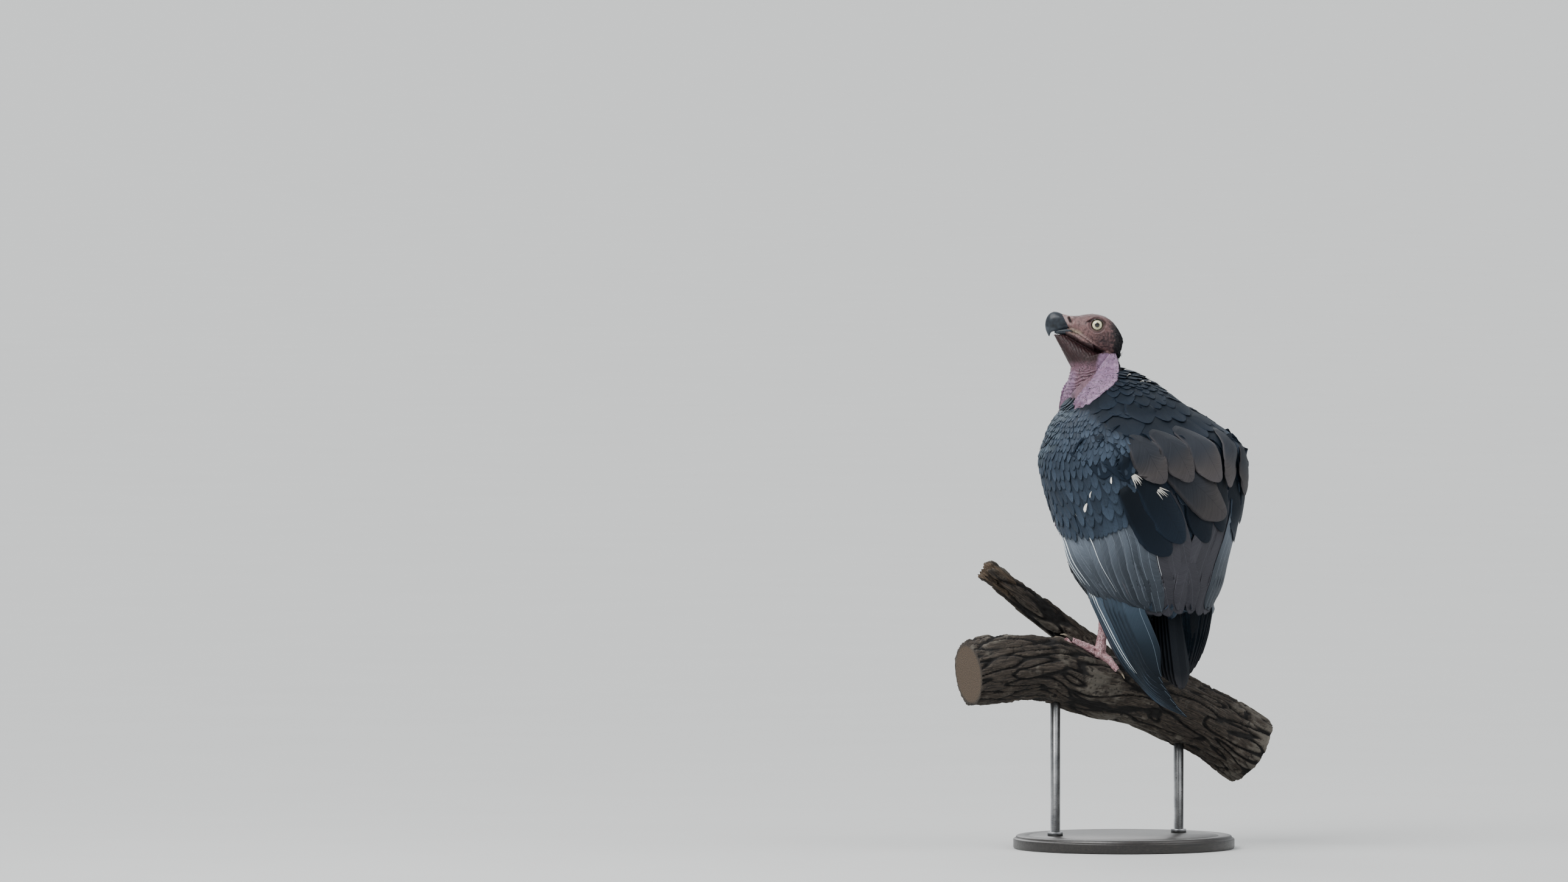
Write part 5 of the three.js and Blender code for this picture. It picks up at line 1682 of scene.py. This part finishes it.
def on_nape(points):
    forward, up, left = to_head(points).T
    patchy = 9 * np.sin(up * 1.7 + forward) * np.sin(np.abs(left) * 1.3 + up)
    return (forward < -27 + patchy) & (up > -60) & (up < 8)


def on_hind_neck(points):
    up = to_head(points)[:, 1]
    return feathered(points) & (up > -112) & (up < -48)


def on_face(points):
    forward, up, _ = to_head(points).T
    clear = eye_ring(forward, up) > 15
    return (forward < 50) & (forward > -40) & (up > -34 - 0.3 * forward) & clear & (up < 26)


def nape_length(points):
    return 2.5 + 3.5 * smooth(-to_head(points)[:, 0], 30, 44)


def make_bristles():
    face_hairs("nape_down", on_nape, 1500, 21, nape_length, 0.4, 0.25)
    face_hairs("hind_neck_down", on_hind_neck, 1500, 22, lambda points: 11.0, 0.7, 0.35)
    face_hairs("face_bristles", on_face, 900, 23, lambda points: 2.6, 0.13, 0.7)


def on_white_patch(points):
    """White down above each thigh and at each side of the crop."""
    _, angle, height = about(points)
    uneven = 1 + 0.35 * np.sin(points[:, 0] * 0.31) * np.sin(height * 0.23)
    thigh = (angle < -58) & (((np.abs(points[:, 0]) - 52) / 18) ** 2 + ((height - 508) / 36) ** 2 < uneven)
    crop = ((np.abs(points[:, 0] - 8) - 62) / 18) ** 2 + ((height - 742) / 30) ** 2 < uneven
    return (angle < -25) & (thigh | crop)


def make_down():
    spread_tract("white_down", DOWN, on_white_patch, 3.2, 5.0, 5000, 24, profile=WISP, breadth=0.8,
                 stations=5, columns=3, overlap=3.6, low=-4.0, sway=0.5)


make_bristles()
make_down()


# ---------------------------------------------------------------- claws
def make_claw(node):
    """A claw: smooth and curved, with its length stored for the horn's colours."""
    made = dressed(remeshed(copied(node), 0.5, relax=5), CLAW_HORN)
    made.name = f"{node}_horn"
    points = points_of(made)
    centred = points - points.mean(0)
    _, _, axes = np.linalg.svd(centred, full_matrices=False)
    run = centred @ axes[0]
    t = (run - run.min()) / np.ptp(run)
    around = centred @ axes[1]
    if np.ptp(around[t < 0.3]) < np.ptp(around[t > 0.7]):
        t = 1 - t
    stored(made, "reach", np.column_stack([around / 4, t, 0 * t]))
    settled(made, "claw_horn", node)


for side_name in SIDES.values():
    for toe in ("middle", "inner", "outer", "hind"):
        make_claw(f"claw_{side_name}_{toe}")


# ---------------------------------------------------------------- dead limb
LIMB_TURN = math.radians(15)
# Points of the limb (across, up, radius) and of its broken side branch (x, y, z, radius).
LIMB_PATH = [(-303, 319, 58), (-220, 328, 60), (-144, 326, 60), (-75, 300, 56), (0, 287, 56), (80, 264, 60),
             (160, 230, 62), (263, 170, 62)]
STUB_PATH = [(-6, -26, 312, 29), (40, -62, 370, 26), (130, -80, 434, 22), (240, -102, 506, 19)]


def limb_lines():
    """Centre lines of the limb and its stub: points and radii."""
    limb = [(-d * math.cos(LIMB_TURN), d * math.sin(LIMB_TURN) - 4, h, r) for d, h, r in LIMB_PATH]
    return [through(limb, 160), through(STUB_PATH, 100)]


# Lengths along the stub start here, so that its bark differs from the limb's.
STUB_START = 900.0
BARK_QUAD = 2.3
TALLEST_RIDGE = 4.5


def on_limb(points):
    """How far each point lies along its nearest line, the line's radius, middle and direction there, and
    whether it is the stub's."""
    n = len(points)
    best = np.full(n, FAR)
    along, radius, on_stub = np.zeros(n), np.zeros(n), np.zeros(n, bool)
    centre, ahead = np.zeros((n, 3)), np.zeros((n, 3))
    for index, line in enumerate(limb_lines()):
        spine, radii = line[:, :3], line[:, 3]
        tangent = unit(np.gradient(spine, axis=0))
        away = np.full(n, FAR)
        near = np.zeros(n, int)
        for k, spot in enumerate(spine):
            d = np.linalg.norm(points - spot, axis=1)
            closer = d < away
            away[closer], near[closer] = d[closer], k
        score = away / radii[near]
        take = score < best
        best[take] = score[take]
        near = near[take]
        offset = ((points[take] - spine[near]) * tangent[near]).sum(1)
        along[take] = run_of(spine)[near] + offset + STUB_START * index
        radius[take], centre[take], ahead[take] = radii[near], spine[near], tangent[near]
        on_stub[take] = index == 1
    return along, radius, centre, ahead, on_stub


def bark_relief(angle, along, radius):
    """The bark's height in mm and how deep its cracks are from 0 to 1, round and along the limb."""
    height, crack = np.zeros(len(angle)), np.zeros(len(angle))
    for i, (a, run, r) in enumerate(zip(angle, along, radius)):
        x, y = math.cos(a) * r, math.sin(a) * r
        # Fissures run along the limb, 80 mm long and 16 mm apart, and finer ones split the ridges.
        swirl = noise.noise((run * 0.011, x * 0.02, y * 0.02)) * 1.1
        long_one = abs(noise.noise((run / 78 + swirl * 0.5, x / 15 + swirl, y / 15)))
        short_one = abs(noise.noise((run / 30 + swirl, x / 7.5, y / 7.5 + 5)))
        rough = noise.noise((run * 0.05, x * 0.2, y * 0.2))
        flake = noise.noise((run * 0.11, x * 0.45, y * 0.45))
        knots = noise.noise((run * 0.009, x * 0.013, y * 0.013))
        deep_one = max(0.0, 1 - long_one / (0.15 + 0.07 * rough)) ** 0.7
        fine_one = max(0.0, 1 - short_one / 0.11) * 0.55
        crack[i] = max(deep_one, fine_one)
        height[i] = 7.0 * knots + 3.0 * rough + 1.3 * flake - 6.0 * deep_one - 2.2 * fine_one + 1.6
    return height, crack


def splinters(angle, deep):
    """How far back the broken end is torn at a place of its section, in mm."""
    coarse = abs(noise.noise((math.cos(angle) * 2.1, math.sin(angle) * 2.1, 4.0)))
    fine = abs(noise.noise((math.cos(angle) * 5.0, math.sin(angle) * 5.0, deep * 2.0)))
    return coarse * 34 + fine * 20


def make_perch():
    made = dressed(remeshed(copied("perch"), BARK_QUAD, relax=3), BARK)
    made.name = "perch_bark"
    points, normal = points_of(made), normals_of(made)
    along, radius, centre, ahead, on_stub = on_limb(points)
    out = points - centre
    out -= ahead * (out * ahead).sum(1, keepdims=True)
    up = unit(np.cross(np.cross(ahead, [0, 0, 1.0]), ahead))
    angle = np.arctan2((out * np.cross(ahead, up)).sum(1), (out * up).sum(1))
    deep = np.linalg.norm(out, axis=1) / radius
    cut = np.abs((normal * ahead).sum(1))
    bare = smooth(cut, 0.55, 0.85) * (1 - smooth(deep, 0.84, 0.93))
    height, crack = bark_relief(angle, along, radius)

    # The saw-cut ends stay flat, and the top where the feet grip stays near its own level.
    grip = bell(points[:, 0], 0, 105, 4) * smooth(normal[:, 2], 0.2, 0.7) * ~on_stub
    height = np.where(grip > 0, blend(height, np.minimum(height * 0.35 - 0.6, 0.4), grip), height)
    height = np.minimum(height, TALLEST_RIDGE) * (1 - smooth(cut, 0.45, 0.8))
    moved = points + unit(out + 1e-6) * height[:, None] * (1 - bare[:, None])
    # The stub broke off long ago: its end is torn back into splinters.
    tear = np.array([splinters(a, d) for a, d in zip(angle, deep)])
    tip = smooth(along - STUB_START, 215, 300) * on_stub
    set_points(made, moved - ahead * (tear * tip * smooth(tear, 2, 12))[:, None])
    bare = np.maximum(bare, smooth(along - STUB_START, 262, 285) * on_stub * smooth(tear, 4, 14))
    round_it = deep * radius
    stored(made, "limb_mm", np.column_stack([along, np.cos(angle) * round_it, np.sin(angle) * round_it]))
    # How deep the cracks are, for their painted shade.
    stored(made, "crack", crack * (1 - smooth(cut, 0.5, 0.8)), "FLOAT")
    # A painted highlight on the raised ridges.
    stored(made, "painted_ridge_highlight", smooth(height, 1.6, 4.4), "FLOAT")
    stored(made, "bare_wood", bare, "FLOAT")
    settled(made, "bark", "perch")


make_perch()


# ---------------------------------------------------------------- display stand
STAND_RADIUS, STAND_THICK = 200.0, 24.0
ROD_RADIUS, COLLAR = 9.0, 5.0
ROD_TOPS = {1: 290.0, 2: 218.0}


def turned(name, finish, node, profile, around):
    """A body of revolution round a node's upright middle line, from (radius, height) points."""
    x, y = (middle_of(node) - HOME)[:2] / MM
    profile = np.array(profile, float)
    turn = np.linspace(0, 2 * np.pi, around, endpoint=False)
    reach, height = profile[:, :1], profile[:, 1:]
    rings = np.stack([x + reach * np.cos(turn), y + reach * np.sin(turn), height + 0 * turn], -1)
    made = mesh_object(name, *loft(rings), finish)
    stored(made, "bird_mm", points_of(made))
    return made


def rounded(radius, height, bevel, steps=5):
    """A corner's quarter round, from the side up to the top's inner edge."""
    turn = np.linspace(0, np.pi / 2, steps)
    return [(radius - bevel + bevel * math.cos(t), height - bevel + bevel * math.sin(t)) for t in turn]


def make_stand():
    r, top = STAND_RADIUS, STAND_THICK
    profile = [(0.5, 0), (r - 3, 0), (r - 1, 1.0), (r, 3)]
    profile += rounded(r, top - 5.5, 2.0) + rounded(r - 4.5, top, 4.0)
    # A turned groove runs round the top.
    profile += [(r - 26, top), (r - 27.5, top - 0.9), (r - 30, top - 0.9), (r - 31.5, top), (0.5, top)]
    settled(turned("stand_base_disc", LACQUER, "stand_base", profile, 96), "stand_wood", "stand_base")
    low, high = STAND_THICK + 0.2, STAND_THICK + 7
    for number, top in ROD_TOPS.items():
        node = f"stand_rod_{number}"
        r, collar = ROD_RADIUS, ROD_RADIUS + COLLAR
        profile = [(0.5, 10), (r, 10), (r, low), (collar, low), (collar, high - 2)]
        profile += rounded(collar, high, 1.6)[1:]
        profile += [(r, high), (r, top - 1), (r - 1, top), (0.5, top)]
        settled(turned(f"{node}_tube", STEEL, node, profile, 48), "rod_steel", node)


make_stand()
